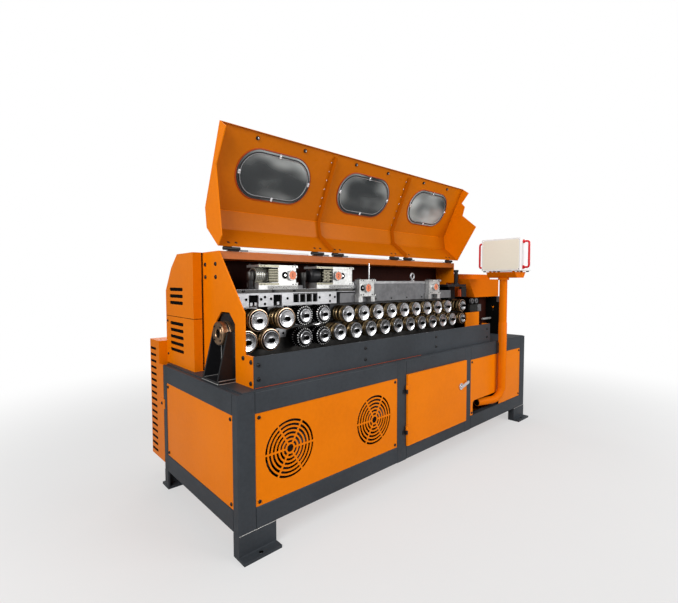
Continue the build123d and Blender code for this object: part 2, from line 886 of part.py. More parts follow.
cutter += block((cutter_x[0] + cutter_head_lead, cutter_x[1]), cutter_y, (plinth_top, hood_floor))
cutter += block(cutter_x, (cutter_y[1] - cutter_back_thickness, cutter_y[1]), (table_height, hood_floor))
cutter += rod_x(cutter_y[0] + cutter_rod_inset, table_height + cutter_rod_rise, cutter_rod_radius,
                cutter_x[0] + cutter_plinth_lead, cutter_x[0] + cutter_head_lead)
save("cutter_body", exit_slide, cutter)


def slanted(inset, floor, front_y, back_y):
    """The cutter hood's outline with its slanted left side, drawn in by an inset."""
    top = hood_floor + cutter_hood_height - inset
    points = (
        (cutter_x[0] - cutter_hood_lead + inset, top),
        (cutter_x[0] - cutter_hood_lead + cutter_hood_slant + inset, hood_floor),
        (cutter_x[0] - cutter_hood_lead + cutter_hood_slant + inset, floor),
        (cutter_x[1] - inset, floor),
        (cutter_x[1] - inset, top),
    )
    return profile_along_y(points, front_y + inset, back_y - inset)


cap_x = (cutter_x[0] - cutter_hood_lead, cutter_x[1])
cap_y = (front + cutter_cap_front, cutter_y[1])
cap_z = (hood_floor + cutter_hood_height, hood_floor + cutter_hood_height + cutter_cap_height)
sheet = cutter_hood_sheet
hood_y = (front + cutter_hood_front, cutter_y[1])
cutter_hood = slanted(0, hood_floor - fit_gap, *hood_y) + block(cap_x, cap_y, cap_z)
cutter_hood -= block(cap_x, hood_y, (hood_floor - overrun, hood_floor))
cutter_hood -= slanted(sheet, hood_floor - overrun, *hood_y)
cutter_hood -= block((cap_x[0] + sheet, cap_x[1] - sheet), (cap_y[0] + sheet, cap_y[1] - sheet),
                     (cap_z[0] - sheet, cap_z[1] - sheet))
save("cutter_hood", cutter_hood)

# Entry guide: a gusseted stand that holds the entry ring on the pass line
guide_middle = front + arch_middle
stand_z = table_height + guide_base_thickness
guide_top = arch_height - guide_top_gap
guide_shoulder = guide_top - guide_shoulder_drop
half = guide_plate_width / 2
half_top = guide_top_width / 2
guide = block((left + guide_base_left, stand_x[1]),
              (arch_front + guide_base_gap, arch_back - guide_base_gap),
              (table_height, stand_z))
guide += profile_along_x(
    (
        (guide_middle - half, stand_z),
        (guide_middle - half, guide_shoulder),
        (guide_middle - half_top, guide_top),
        (guide_middle + half_top, guide_top),
        (guide_middle + half, guide_shoulder),
        (guide_middle + half, stand_z),
    ),
    *stand_x,
)
gusset_top = pass_height + gusset_rise
gusset_outline = (
    (stand_x[0], stand_z),
    (stand_x[0], gusset_top),
    (stand_x[0] - gusset_head_length, gusset_top),
    (stand_x[0] - gusset_foot_length, stand_z),
)
for edge in (guide_middle - half, guide_middle + half - gusset_thickness):
    guide += profile_along_y(gusset_outline, edge, edge + gusset_thickness)
guide += rod_x(guide_middle, pass_height, ring_diameter / 2, stand_x[0] - ring_length, stand_x[0])
guide -= rod_x(guide_middle, pass_height, ring_bore / 2, stand_x[0] - ring_length - overrun,
               stand_x[1] + overrun)
save("entry_guide", guide)

# Drive housing
drive_front = bay_back + drive_gap
drive_back = drive_front + drive_depth
drive_eave = bay_height - drive_eave_drop
drive_outline = (
    (drive_front, table_height),
    (drive_front, bay_height),
    (drive_front + drive_top_depth, bay_height),
    (drive_front + drive_shoulder_depth, bay_height - drive_shoulder_drop),
    (drive_back, drive_eave),
    (drive_back, table_height),
)
drive_x = (left + drive_left, right_plate_x[0] - drive_right_gap)
drive = profile_along_x(drive_outline, *drive_x)
slot_heights = [drive_eave - upper_louvre_drop + louvre_pitch * i for i in range(upper_louvres)]
slot_heights += [table_height + lower_louvre_rise + louvre_pitch * i for i in range(lower_louvres)]
louvre_y = drive_front + louvre_lead + louvre_length / 2
for height in slot_heights:
    drive -= slot_along_x(louvre_y, height, louvre_length, louvre_height, drive_x[0] - overrun,
                          drive_x[0] + louvre_depth)
save("drive_cover", drive)

# Louvred box behind the base, joined to it by a full-height flange
rear_x = (left, left + rear_box_length)
rear_start = max(back + rear_box_gap, drive_back + rear_drive_gap)
rear_box_y = (rear_start, rear_start + rear_box_depth)
rear_z = (frame_bottom + rear_box_drop, table_height + rear_box_rise)
rear_box = block(rear_x, rear_box_y, rear_z)
rear_box += block((rear_x[0], rear_x[0] + rear_flange_thickness), (back, rear_box_y[0]),
                  (rear_z[0], frame_top))
rear_box += block((rear_x[0] + rear_lid_inset, rear_x[1] - rear_lid_inset),
                  (rear_box_y[1], rear_box_y[1] + rear_lid_depth),
                  [share_of(rear_z, share) for share in rear_lid_shares])
slot_y = rear_box_y[1] - rear_slot_inset - rear_slot_length / 2
for i in range(rear_slots):
    rear_box -= slot_along_x(slot_y, rear_z[0] + rear_slot_first + rear_slot_pitch * i, rear_slot_length,
                             rear_slot_height, rear_x[0] - overrun, rear_x[0] + louvre_depth)
save("rear_louvre_box", rear_box)

# Hood: folded sheet on two end plates and two ribs
axis_y = front + plate_top_front - hood_hinge_lead
axis_z = bay_height + hood_hinge_rise


def from_hinge(*points):
    """Outline points given from the hood's hinge axis."""
    return tuple((axis_y + y, axis_z + z) for y, z in points)


hood_back_line = from_hinge(
    (hood_top_y, hood_top_z),
    (hood_back_y, hood_back_z),
    (hood_heel_y, hood_heel_z),
    (hood_root_y, hood_root_z),
)
hood_front_line = from_hinge(
    (hood_toe_y, hood_toe_z),
    (hood_bend_y, hood_bend_z),
    (hood_lip_y, hood_lip_z),
)
right_end_line = from_hinge(
    (end_cover_y, end_cover_z),
    (end_arch_y, end_arch_z),
    (end_step_y, end_step_z),
    (end_notch_y, end_notch_z),
    (hood_lip_y, hood_lip_z),
)
hood_x = (plate_x[0] - hood_end_gap - hood_plate_thickness, right_plate_x[1] + hood_right_gap)
shell_x = (hood_x[0] + hood_plate_thickness, hood_x[1] - hood_plate_thickness)
left_end = profile_along_x(hood_back_line + hood_front_line, hood_x[0], shell_x[0])
right_end = profile_along_x(hood_back_line + right_end_line, shell_x[1], hood_x[1])


def inward(points, distance):
    """The folded line moved square to each of its folds, towards the hood's hollow side."""
    headings = [atan2(b[1] - a[1], b[0] - a[0]) for a, b in zip(points[:-1], points[1:])]
    moved = []
    for point, first, second in zip(points, headings[:1] + headings, headings + headings[-1:]):
        bisect = (first + second) / 2
        reach = distance / cos((second - first) / 2)
        moved.append((point[0] + reach * sin(bisect), point[1] - reach * cos(bisect)))
    return tuple(moved)


def folded(points, near, far, start, end):
    """A sheet that follows the folded line between two distances from it."""
    outer = inward(points, near)
    inner = inward(points, far)
    return profile_along_x(outer + tuple(reversed(inner)), start, end)


face_run = (hood_back_y - hood_top_y, hood_back_z - hood_top_z)
face_length = hypot(*face_run)


def down_face(distance):
    """A point on the big face of the hood, measured down from its top edge."""
    top = hood_back_line[0]
    return (top[0] + face_run[0] * distance / face_length, top[1] + face_run[1] * distance / face_length)


shell = folded(hood_back_line, 0, hood_sheet, *shell_x)
shell += folded((hood_back_line[0], down_face(hood_sheet)), 0, hood_lip_length, *shell_x)
window_middle = down_face(face_length * window_centre_share)
face_down = Vector(0, *face_run).normalized()


def on_hood_face(x):
    """A plane on the big face of the hood, local x along X and local y down the face."""
    return Plane(origin=(x, *window_middle), x_dir=(1, 0, 0), z_dir=Vector(1, 0, 0).cross(face_down))


panes = []
for share in window_shares:
    face = on_hood_face(share_of(hood_x, share))
    shell -= extrude(face * SlotOverall(window_length, window_height), overrun, both=True)
    pane = SlotOverall(window_length + 2 * pane_lap, window_height + 2 * pane_lap)
    panes.append(extrude(face.offset(-hood_sheet) * pane, -pane_thickness))
save("hood_shell", shell)
save("hood_windows", *panes)

rib_line = (down_face(hood_rib_top_gap),) + hood_back_line[1:]
ribs = []
for share in hood_rib_shares:
    rib_x = share_of(hood_x, share)
    ribs.append(folded(rib_line, hood_sheet, hood_sheet + hood_rib_depth, rib_x, rib_x + hood_rib_thickness))
save("hood_formers", left_end, right_end, *ribs)

# Hood hinges: fixed halves on the beam, moving halves under the hood's lowest fold
heel_run = Vector(0, hood_heel_y - hood_root_y, hood_heel_z - hood_root_z).normalized()
heel_normal = heel_run.cross(Vector(1, 0, 0))
moving_halves = []
fixed_hood_halves = []
for share in hood_hinge_shares:
    middle = share_of(hood_x, share)
    mover = (middle - hood_hinge_half, middle - fit_gap / 2)
    keeper = (middle + fit_gap / 2, middle + hood_hinge_half)
    bore = rod_x(axis_y, axis_z, hinge_pin_radius + hinge_pin_gap, mover[0] - overrun, mover[1] + overrun)
    heel = Plane(origin=(mover[0], *hood_back_line[-1]), x_dir=(1, 0, 0), z_dir=heel_normal)
    leaf = Box(mover[1] - mover[0], hood_hinge_leaf, hood_leaf_thickness,
               align=(Align.MIN, Align.MAX, Align.MIN))
    knuckle = rod_x(axis_y, axis_z, hood_hinge_radius, *mover)
    moving_halves.append((knuckle - bore) + heel * leaf)
    barrel = rod_x(axis_y, axis_z, hood_hinge_radius, *keeper)
    barrel += block(keeper, (axis_y + hood_foot_start, axis_y + hood_foot_depth),
                    (bay_height, bay_height + hood_foot_thickness))
    barrel += block(keeper, (axis_y + hood_foot_start, axis_y + hood_hinge_radius), (bay_height, axis_z))
    pin = rod_x(axis_y, axis_z, hinge_pin_radius, mover[0], keeper[1])
    fixed_hood_halves.append(barrel + pin)
save("hood_hinges_moving", *moving_halves)
save("hood_hinges_fixed", *fixed_hood_halves)

# Control head: a pipe out of the cabinet, with a tray on its top
pipe_x = notch_x[1] - pipe_lead
pipe_y = front - pipe_front
pipe_top = table_height + pipe_rise
pipe_run_z = opening_bottom + pipe_run_rise
run = (pipe_run_length * cos(radians(pipe_run_angle)), pipe_run_length * sin(radians(pipe_run_angle)))
pipe_path = FilletPolyline(
    (pipe_x, pipe_y, pipe_top),
    (pipe_x, pipe_y, pipe_run_z),
    (pipe_x - run[0], pipe_y + run[1], pipe_run_z),
    radius=pipe_bend_radius,
)
pipe_end = Plane(origin=(pipe_x, pipe_y, pipe_top), z_dir=(0, 0, -1))
post = sweep(pipe_end * Circle(pipe_diameter / 2), pipe_path)
post += block((pipe_x - clamp_width / 2, pipe_x + clamp_width / 2), (pipe_y, front),
              (frame_top - clamp_drop - clamp_height, frame_top - clamp_drop))
save("control_post", post)

collar_z = (pipe_top + fit_gap, pipe_top + fit_gap + collar_height)
tray_z = (collar_z[1], collar_z[1] + tray_height)
tray_x = (pipe_x - control_reach, pipe_x - control_reach + tray_depth)
tray_middle = (tray_x[0] + tray_x[1]) / 2
floor_half = tray_depth * tray_floor_share / 2
tray = profile_along_y(
    (
        (tray_middle - floor_half, tray_z[0]),
        (tray_middle + floor_half, tray_z[0]),
        (tray_x[1], tray_z[1]),
        (tray_x[0], tray_z[1]),
    ),
    pipe_y - tray_width / 2,
    pipe_y + tray_width / 2,
)
tray += rod_z(pipe_x, pipe_y, collar_diameter / 2, *collar_z)
foot_offset = tray_foot_inset + tray_foot_size / 2
for x in (tray_x[0] + foot_offset, tray_x[1] - foot_offset):
    for side in (-1, 1):
        y = pipe_y + side * (tray_width / 2 - foot_offset)
        tray += rod_z(x, y, tray_foot_size / 2, tray_z[1], tray_z[1] + tray_foot)
save("control_tray", tray)

case_z = (tray_z[1] + tray_foot, tray_z[1] + tray_foot + control_height)
case_x = (pipe_x - control_reach, pipe_x - control_reach + control_depth)
case_y = (pipe_y - control_width / 2, pipe_y + control_width / 2)
case = block(case_x, case_y, case_z)
case = fillet(case.edges().filter_by(Axis.X), control_edge)
save("control_box", case)

handle_x = case_x[0] + handle_offset
handle_z = (case_z[0] + handle_inset, case_z[0] + handle_inset + handle_height)


def grab_handle(side_y, facing):
    """A bent bar handle that stands off one side of the control box."""
    reach = side_y + facing * handle_reach
    path = FilletPolyline(
        (handle_x, side_y, handle_z[0]),
        (handle_x, reach, handle_z[0]),
        (handle_x, reach, handle_z[1]),
        (handle_x, side_y, handle_z[1]),
        radius=2 * handle_bar_radius,
    )
    start = Plane(origin=(handle_x, side_y, handle_z[0]), z_dir=(0, facing, 0))
    return sweep(start * Circle(handle_bar_radius), path)


save("control_handles", grab_handle(case_y[0], -1), grab_handle(case_y[1], 1))
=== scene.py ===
# %% [markdown]
# A steel bar straightening machine.
#
# The CAD model gives the true sizes and the moving bodies. This lesson dresses it: every sheet gets its
# paint, every turned roller its grooves and bright face, and the bolts, gaskets, welds and screws that
# the solids leave out are added as surfaces worked out with numpy.

# %% Load the frame
import json
import math

import bmesh
import bpy
import numpy as np
from mathutils import Matrix, Vector


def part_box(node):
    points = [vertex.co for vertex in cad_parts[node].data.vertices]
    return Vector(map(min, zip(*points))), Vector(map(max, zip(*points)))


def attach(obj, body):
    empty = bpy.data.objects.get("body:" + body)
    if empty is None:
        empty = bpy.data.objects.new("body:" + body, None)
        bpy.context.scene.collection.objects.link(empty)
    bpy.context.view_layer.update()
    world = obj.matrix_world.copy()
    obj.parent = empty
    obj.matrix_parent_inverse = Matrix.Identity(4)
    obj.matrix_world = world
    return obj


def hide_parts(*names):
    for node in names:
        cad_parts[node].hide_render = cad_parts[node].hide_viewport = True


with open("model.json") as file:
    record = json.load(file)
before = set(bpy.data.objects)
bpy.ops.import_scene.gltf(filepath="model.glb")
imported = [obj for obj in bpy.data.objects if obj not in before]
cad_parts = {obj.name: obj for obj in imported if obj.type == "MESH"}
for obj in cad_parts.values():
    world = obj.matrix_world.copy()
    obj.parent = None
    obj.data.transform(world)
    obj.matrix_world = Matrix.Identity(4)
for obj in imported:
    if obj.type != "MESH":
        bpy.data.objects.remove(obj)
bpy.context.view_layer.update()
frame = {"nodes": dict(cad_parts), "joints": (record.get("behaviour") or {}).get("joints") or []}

nodes = frame["nodes"]
joints = {joint["name"]: joint for joint in frame["joints"]}
MM = 0.001


def where(name):
    """The lowest and highest corner of a CAD node, in millimetres."""
    return np.array(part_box(name)) / MM


BASE_LEFT, BASE_FRONT = where("frame_posts")[0][:2]


def at(x, y, z):
    """Points in millimetres from the left end of the base, its front face and the floor."""
    x, y, z = np.broadcast_arrays(np.asarray(x, float), np.asarray(y, float), np.asarray(z, float))
    return np.stack([BASE_LEFT + x, BASE_FRONT + y, z], -1)


# %% [markdown]
# Shader maths reads best as ordinary sums. A small class wraps a socket and overloads the operators, so
# that an expression such as 0.3 + 0.1 * grain adds its own Math nodes. Any other node comes from one method.


# %% Shader helper
class Value:
    """An output socket whose arithmetic adds Math nodes to its tree."""

    def __init__(self, finish, socket):
        self.finish = finish
        self.socket = socket

    def sum_with(self, operation, first, second):
        return self.finish.node("ShaderNodeMath", {"operation": operation}, {0: first, 1: second})

    def __add__(self, other):
        return self.sum_with("ADD", self, other)

    def __sub__(self, other):
        return self.sum_with("SUBTRACT", self, other)

    def __rsub__(self, other):
        return self.sum_with("SUBTRACT", other, self)

    def __mul__(self, other):
        return self.sum_with("MULTIPLY", self, other)

    __radd__, __rmul__ = __add__, __mul__

    def smooth(self, low, high):
        """0 below low, 1 above high, with a soft step between."""
        span = {"Value": self, "From Min": low, "From Max": high}
        return self.finish.node("ShaderNodeMapRange", {"interpolation_type": "SMOOTHSTEP"}, span)


class Finish:
    """A material whose Principled shader takes constants on its sockets and links where a surface varies."""

    def __init__(self, name, **constants):
        self.material = bpy.data.materials.new(name)
        self.material.use_nodes = True
        self.tree = self.material.node_tree
        self.shader = self.tree.nodes["Principled BSDF"]
        self.out = self.tree.nodes["Material Output"]
        for key, value in constants.items():
            self.set(key.replace("_", " ").title().replace("Ior", "IOR"), value)

    def set(self, socket, value):
        """Set a socket of the shader to a constant or link a Value to it."""
        self.plug(self.shader.inputs[socket], value)

    def plug(self, target, value):
        if isinstance(value, Value):
            self.tree.links.new(value.socket, target)
        elif target.type == "RGBA" and len(value) == 3:
            target.default_value = (*value, 1)
        else:
            target.default_value = value

    def node(self, kind, settings=None, inputs=None, output=0):
        """Add a node: its settings first, then the values or links of its sockets."""
        made = self.tree.nodes.new(kind)
        for key, value in (settings or {}).items():
            setattr(made, key, value)
        for key, value in (inputs or {}).items():
            self.plug(made.inputs[key], value)
        return Value(self, made.outputs[output])

    def here(self):
        """Object coordinates, which stay with the mesh in every pose."""
        return self.node("ShaderNodeTexCoord", output="Object")

    def noise(self, scale, detail=3.0, stretch=(1, 1, 1), shift=(0, 0, 0)):
        """Cloudy noise about 0.5 on Object coordinates, stretched and shifted."""
        placed = {"Vector": self.here(), "Scale": stretch, "Location": shift}
        inputs = {"Vector": self.node("ShaderNodeMapping", {}, placed), "Scale": scale, "Detail": detail}
        return self.node("ShaderNodeTexNoise", {}, inputs)

    def reach(self):
        """How far a point lies from the axis that it was turned about, as a share of the largest radius."""
        return self.node("ShaderNodeAttribute", {"attribute_name": "reach"}, output="Fac")

    def rings(self, scale):
        """Fine noise that changes with the reach alone, as tool marks on a turned face do."""
        inputs = {"W": self.reach(), "Scale": scale, "Detail": 2.0}
        return self.node("ShaderNodeTexNoise", {"noise_dimensions": "1D"}, inputs)

    def mix(self, factor, first, second):
        """A colour between two colours."""
        inputs = {0: factor, 6: first, 7: second}
        return self.node("ShaderNodeMix", {"data_type": "RGBA"}, inputs, output=2)

    def bump(self, height, strength, distance):
        """Turn a height in 0 to 1 into the shader's normal."""
        inputs = {"Height": height, "Strength": strength, "Distance": distance}
        self.set("Normal", self.node("ShaderNodeBump", {}, inputs))


# %% [markdown]
# Powder coat is a thick skin with a faint orange peel. Real coats are never one flat colour: the film is
# thicker in places and dust dulls the sheets. Painted textures would need a picture for each sheet, so noise
# on Object coordinates is used instead: both colour and gloss drift slowly over a panel.


# %% Paints
SHADE_FADE = 0.1


def powder_coat(name, colour, deep, rough, peel, shine=0.28, shade_stretch=None):
    """Paint: colour drifts to deep in clouds, gloss drifts with it, and fine noise dents the film.

    A shade stretch (from x, to x, colour) is painted shade: the colour sinks into a darker one between two
    places along the object."""
    paint = Finish(name, specular_ior_level=shine)
    clouds = paint.noise(2.3, 4.0)
    specks = paint.noise(55.0, 2.0, shift=(3.0, 1.0, 2.0))
    tone = paint.mix((clouds * 0.75 + specks * 0.25).smooth(0.32, 0.72), colour, deep)
    # Painted shade: between the two places along x the colour darkens to the shade colour.
    if shade_stretch:
        start, end, shade_colour = shade_stretch
        x = paint.node("ShaderNodeSeparateXYZ", {}, {0: paint.here()})
        inside = x.smooth(start, start + SHADE_FADE) * (1 - x.smooth(end - SHADE_FADE, end))
        tone = paint.mix(inside, tone, shade_colour)
    paint.set("Base Color", tone)
    smears = paint.noise(9.0, 5.0, stretch=(1, 1, 3))
    paint.set("Roughness", rough + 0.14 * (smears - 0.5))
    paint.bump(0.6 * paint.noise(420.0, 1.5) + 0.4 * paint.noise(130.0, 1.0), peel, 0.0006)
    return paint.material


ORANGE_COAT = ((0.80, 0.196, 0.0006), (0.72, 0.168, 0.0004), 0.34, 0.09, 0.07)
# Painted shade: between the hood's end plates the ribs darken to the shaded hood orange.
RIB_SHADE = (-1.1, 0.55, (0.42, 0.098, 0.001))
orange = powder_coat("orange_powder_coat", *ORANGE_COAT)
former_orange = powder_coat("former_powder_coat_rib_shade", *ORANGE_COAT, shade_stretch=RIB_SHADE)
# Painted shade: the hood shell is the same orange paint, darkened because its inner side lies in shade.
hood_shaded_orange = powder_coat("hood_shaded_powder_coat", (0.55, 0.138, 0.0015), (0.48, 0.118, 0.001), 0.30, 0.09, 0.08)
# Painted shade: a darker copy of the orange paint for the pipe, its sleeve, the cutter hood and the tray.
pipe_shaded_orange = powder_coat("pipe_shaded_powder_coat", (0.70, 0.150, 0.0005), (0.63, 0.132, 0.0004), 0.36, 0.09, 0.03)
# Painted shade: the top beam's orange paint, darkened to a brown-orange that stands in for shade.
beam_shaded_orange = powder_coat("glossy_beam_shaded_paint", (0.50, 0.12, 0.010), (0.40, 0.092, 0.006), 0.26, 0.04, 0.12)
slate = powder_coat("slate_powder_coat", (0.044, 0.050, 0.058), (0.031, 0.035, 0.040), 0.46, 0.14, 0.14)
# Painted shade: the rear wall and the back panel under the cutter hood are orange paint in deep shade,
# coloured a maroon near black.
maroon = powder_coat("maroon_painted_shade", (0.034, 0.007, 0.004), (0.016, 0.004, 0.003), 0.60, 0.12, 0.06)
black = powder_coat("black_oxide", (0.011, 0.011, 0.012), (0.006, 0.006, 0.007), 0.40, 0.10)
# Painted shade: a near-black that fills sockets, holes, slots, gaps and the dark spaces behind sheets.
shade_black = powder_coat("painted_shade_black", (0.003, 0.003, 0.003), (0.002, 0.002, 0.002), 0.9, 0.05, 0.05)
beige = powder_coat("beige_enamel", (0.93, 0.89, 0.76), (0.89, 0.85, 0.72), 0.36, 0.05)
white = powder_coat("white_enamel", (0.90, 0.91, 0.90), (0.86, 0.87, 0.87), 0.34, 0.05)
red = powder_coat("red_handle_plastic", (0.70, 0.012, 0.022), (0.58, 0.008, 0.014), 0.28, 0.03)
salmon = powder_coat("salmon_number_disc", (0.80, 0.235, 0.115), (0.74, 0.20, 0.09), 0.42, 0.06)
rubber = powder_coat("gasket_rubber", (0.030, 0.030, 0.033), (0.018, 0.018, 0.020), 0.60, 0.20)
# Painted shade: umber stands for the shadowed side of the orange-brown pipe clamp.
clamp_side_shade = powder_coat("umber_clamp_shade", (0.060, 0.026, 0.014), (0.035, 0.016, 0.010), 0.50, 0.10)
bead_red = powder_coat("red_sealant_bead", (0.42, 0.060, 0.012), (0.33, 0.045, 0.010), 0.45, 0.10)
print("paints ready, from", orange.name, "to", bead_red.name)

# %% [markdown]
# Bare metals differ by how they were cut. Milled steel carries straight fine scratches, cast iron a grainy
# skin, cast aluminium a pale, sandy one, and a turned face fine rings about its own axis. Stretched noise
# gives the straight marks. The rings follow a value kept on the mesh, so they turn with their roller.


# %% Metals
def bare_metal(name, colour, deep, rough, stretch, grain, shine=0.9):
    """Metal: long stretched noise for tool marks feeds colour, roughness and a shallow bump."""
    metal = Finish(name, metallic=shine, specular_ior_level=0.5)
    marks = metal.noise(40.0, 4.0, stretch=stretch)
    stains = metal.noise(7.0, 5.0)
    metal.set("Base Color", metal.mix((0.5 * marks + 0.5 * stains).smooth(0.3, 0.7), deep, colour))
    metal.set("Roughness", rough + 0.25 * (marks - 0.5) + 0.2 * (stains - 0.5))
    metal.bump(marks * 0.5 + metal.noise(grain, 3.0) * 0.5, 0.18, 0.0006)
    return metal.material


def turned_metal(name, deep, colour, edges, rough, ring_depth):
    """Turned metal: colour follows the reach between two edges, and rings follow it more finely."""
    metal = Finish(name, metallic=0.95, specular_ior_level=0.5)
    rings = metal.rings(90.0)
    smudge = metal.noise(30.0, 4.0)
    shade = metal.reach().smooth(*edges)
    metal.set("Base Color", metal.mix(shade * (0.85 + 0.3 * (smudge - 0.5)), deep, colour))
    metal.set("Roughness", rough + 0.10 * (rings - 0.5) + 0.08 * (smudge - 0.5))
    metal.bump(rings, ring_depth, 0.0008)
    return metal.material


EVEN = (1, 1, 1)
milled = bare_metal("milled_steel", (0.50, 0.50, 0.51), (0.28, 0.28, 0.29), 0.36, (1, 9, 9), 220.0)
cast_grey = bare_metal("cast_iron_grey", (0.18, 0.18, 0.187), (0.10, 0.10, 0.105), 0.52, EVEN, 160.0, 0.6)
cast_alloy = bare_metal("cast_aluminium", (0.66, 0.66, 0.65), (0.38, 0.38, 0.37), 0.38, (2, 2, 2), 300.0, 0.8)
olive_alloy = bare_metal("cooling_fin_alloy", (0.36, 0.34, 0.26), (0.16, 0.15, 0.11), 0.38, (6, 1, 1), 240.0)
chrome = bare_metal("polished_chrome", (0.82, 0.82, 0.83), (0.72, 0.72, 0.74), 0.14, (1, 1, 6), 90.0)
dark_steel = bare_metal("oiled_dark_steel", (0.075, 0.072, 0.068), (0.035, 0.034, 0.033), 0.42, (1, 5, 1),
                        180.0)
weld_metal = bare_metal("weld_bead", (0.60, 0.59, 0.57), (0.38, 0.37, 0.36), 0.45, EVEN, 300.0, 0.7)
ring_bronze = bare_metal("guide_ring_bronze", (0.42, 0.27, 0.16), (0.20, 0.115, 0.065), 0.34, EVEN, 140.0)
bright_face = turned_metal("turned_steel_face", (0.5, 0.5, 0.52), (0.66, 0.66, 0.68), (0, 0.35), 0.26, 0.3)
# Painted shade: the groove floors turn near black, and only the crests near the full radius keep the bronze
# colour.
bronze = turned_metal("bronze_with_groove_shade", (0.020, 0.012, 0.007), (0.50, 0.36, 0.19), (0.86, 0.99), 0.28, 0.12)
brass_rim = turned_metal("brass_rim", (0.70, 0.42, 0.26), (0.92, 0.66, 0.46), (0.85, 1.0), 0.30, 0.10)
# Painted highlight: the teeth turn bright where the value kept on them is high, at the front edges of the
# tips.
tooth_steel = turned_metal("tooth_steel", (0.008, 0.008, 0.009), (0.85, 0.85, 0.84), (0.52, 0.66), 0.34, 0.1)
print("metals ready, from", milled.name, "to", tooth_steel.name)

# %% [markdown]
# The hood's panes are smoky plastic, with a painted reflection in lighter patches. They let some light
# through, so they use alpha and not refraction, which would be slow and noisy in a thin sheet.

# %% Window pane
pane = Finish("smoky_pane", specular_ior_level=0.5)
film = pane.noise(2.1, 1.0, stretch=(1.0, 1.0, 1.3), shift=(0.4, 0.0, 0.3))
streak_and_reflection = pane.noise(6.0, 1.0, stretch=(0.7, 0.4, 1.6), shift=(2.0, 0.0, 1.0))
# Painted reflection: clouds and streaks of noise lift the smoky grey to pale grey in patches.
bright = (0.75 * film + 0.25 * streak_and_reflection).smooth(0.44, 0.68)
pane.set("Base Color", pane.mix(bright, (0.012, 0.016, 0.018), (0.50, 0.53, 0.52)))
pane.set("Alpha", 0.93 + 0.10 * (film - 0.5))
pane.set("Roughness", 0.07 + 0.08 * (streak_and_reflection - 0.4))
print("pane ready:", pane.material.name)

# %% [markdown]
# Every CAD node that stays in view is painted with one of these finishes. The rollers are not in the list,
# because turned pieces stand for them further on.

# %% Dress the CAD nodes
dress = {
    slate: ["frame_posts", "frame_rails", "feet", "table_plate", "apron_plate"],
    orange: ["vent_panel", "closing_panels", "cabinet_door", "side_plates", "drive_cover", "rear_louvre_box"],
    # Painted shade: the pipe, hood, rib, rear wall and beam finishes are the orange paint darkened where it
    # lies in shade.
    pipe_shaded_orange: ["cutter_hood", "control_post", "control_tray"],
    hood_shaded_orange: ["hood_shell"],
    former_orange: ["hood_formers"],
    maroon: ["rear_wall"],
    beam_shaded_orange: ["top_beam"],
    black: ["door_hinges", "hood_hinges_moving", "hood_hinges_fixed", "entry_guide", "cutter_body"],
    white: ["control_box"],
    red: ["control_handles"],
    milled: ["upper_bridge"],
    cast_grey: ["press_beam"],
    dark_steel: ["roller_bed"],
    cast_alloy: ["screw_jacks"],
    chrome: ["door_latch"],
    pane.material: ["hood_windows"],
}
for material, names in dress.items():
    for name in names:
        nodes[name].data.materials.clear()
        nodes[name].data.materials.append(material)
print("dressed:", sum(len(names) for names in dress.values()), "nodes")

# %% [markdown]
# New pieces are surfaces on a grid. A piece gathers grids of points, each with its own finish, and joins them
# into one mesh: a cell of a grid is a quad, equal points are merged so that seams and poles close, and edges
# sharper than a set angle stay crisp. Blender's own primitives could be joined instead, but a grid gives the
# exact profile and one array holds all the copies.


# %% Piece builder
MERGE = 1e-6
CREASE = math.radians(34)


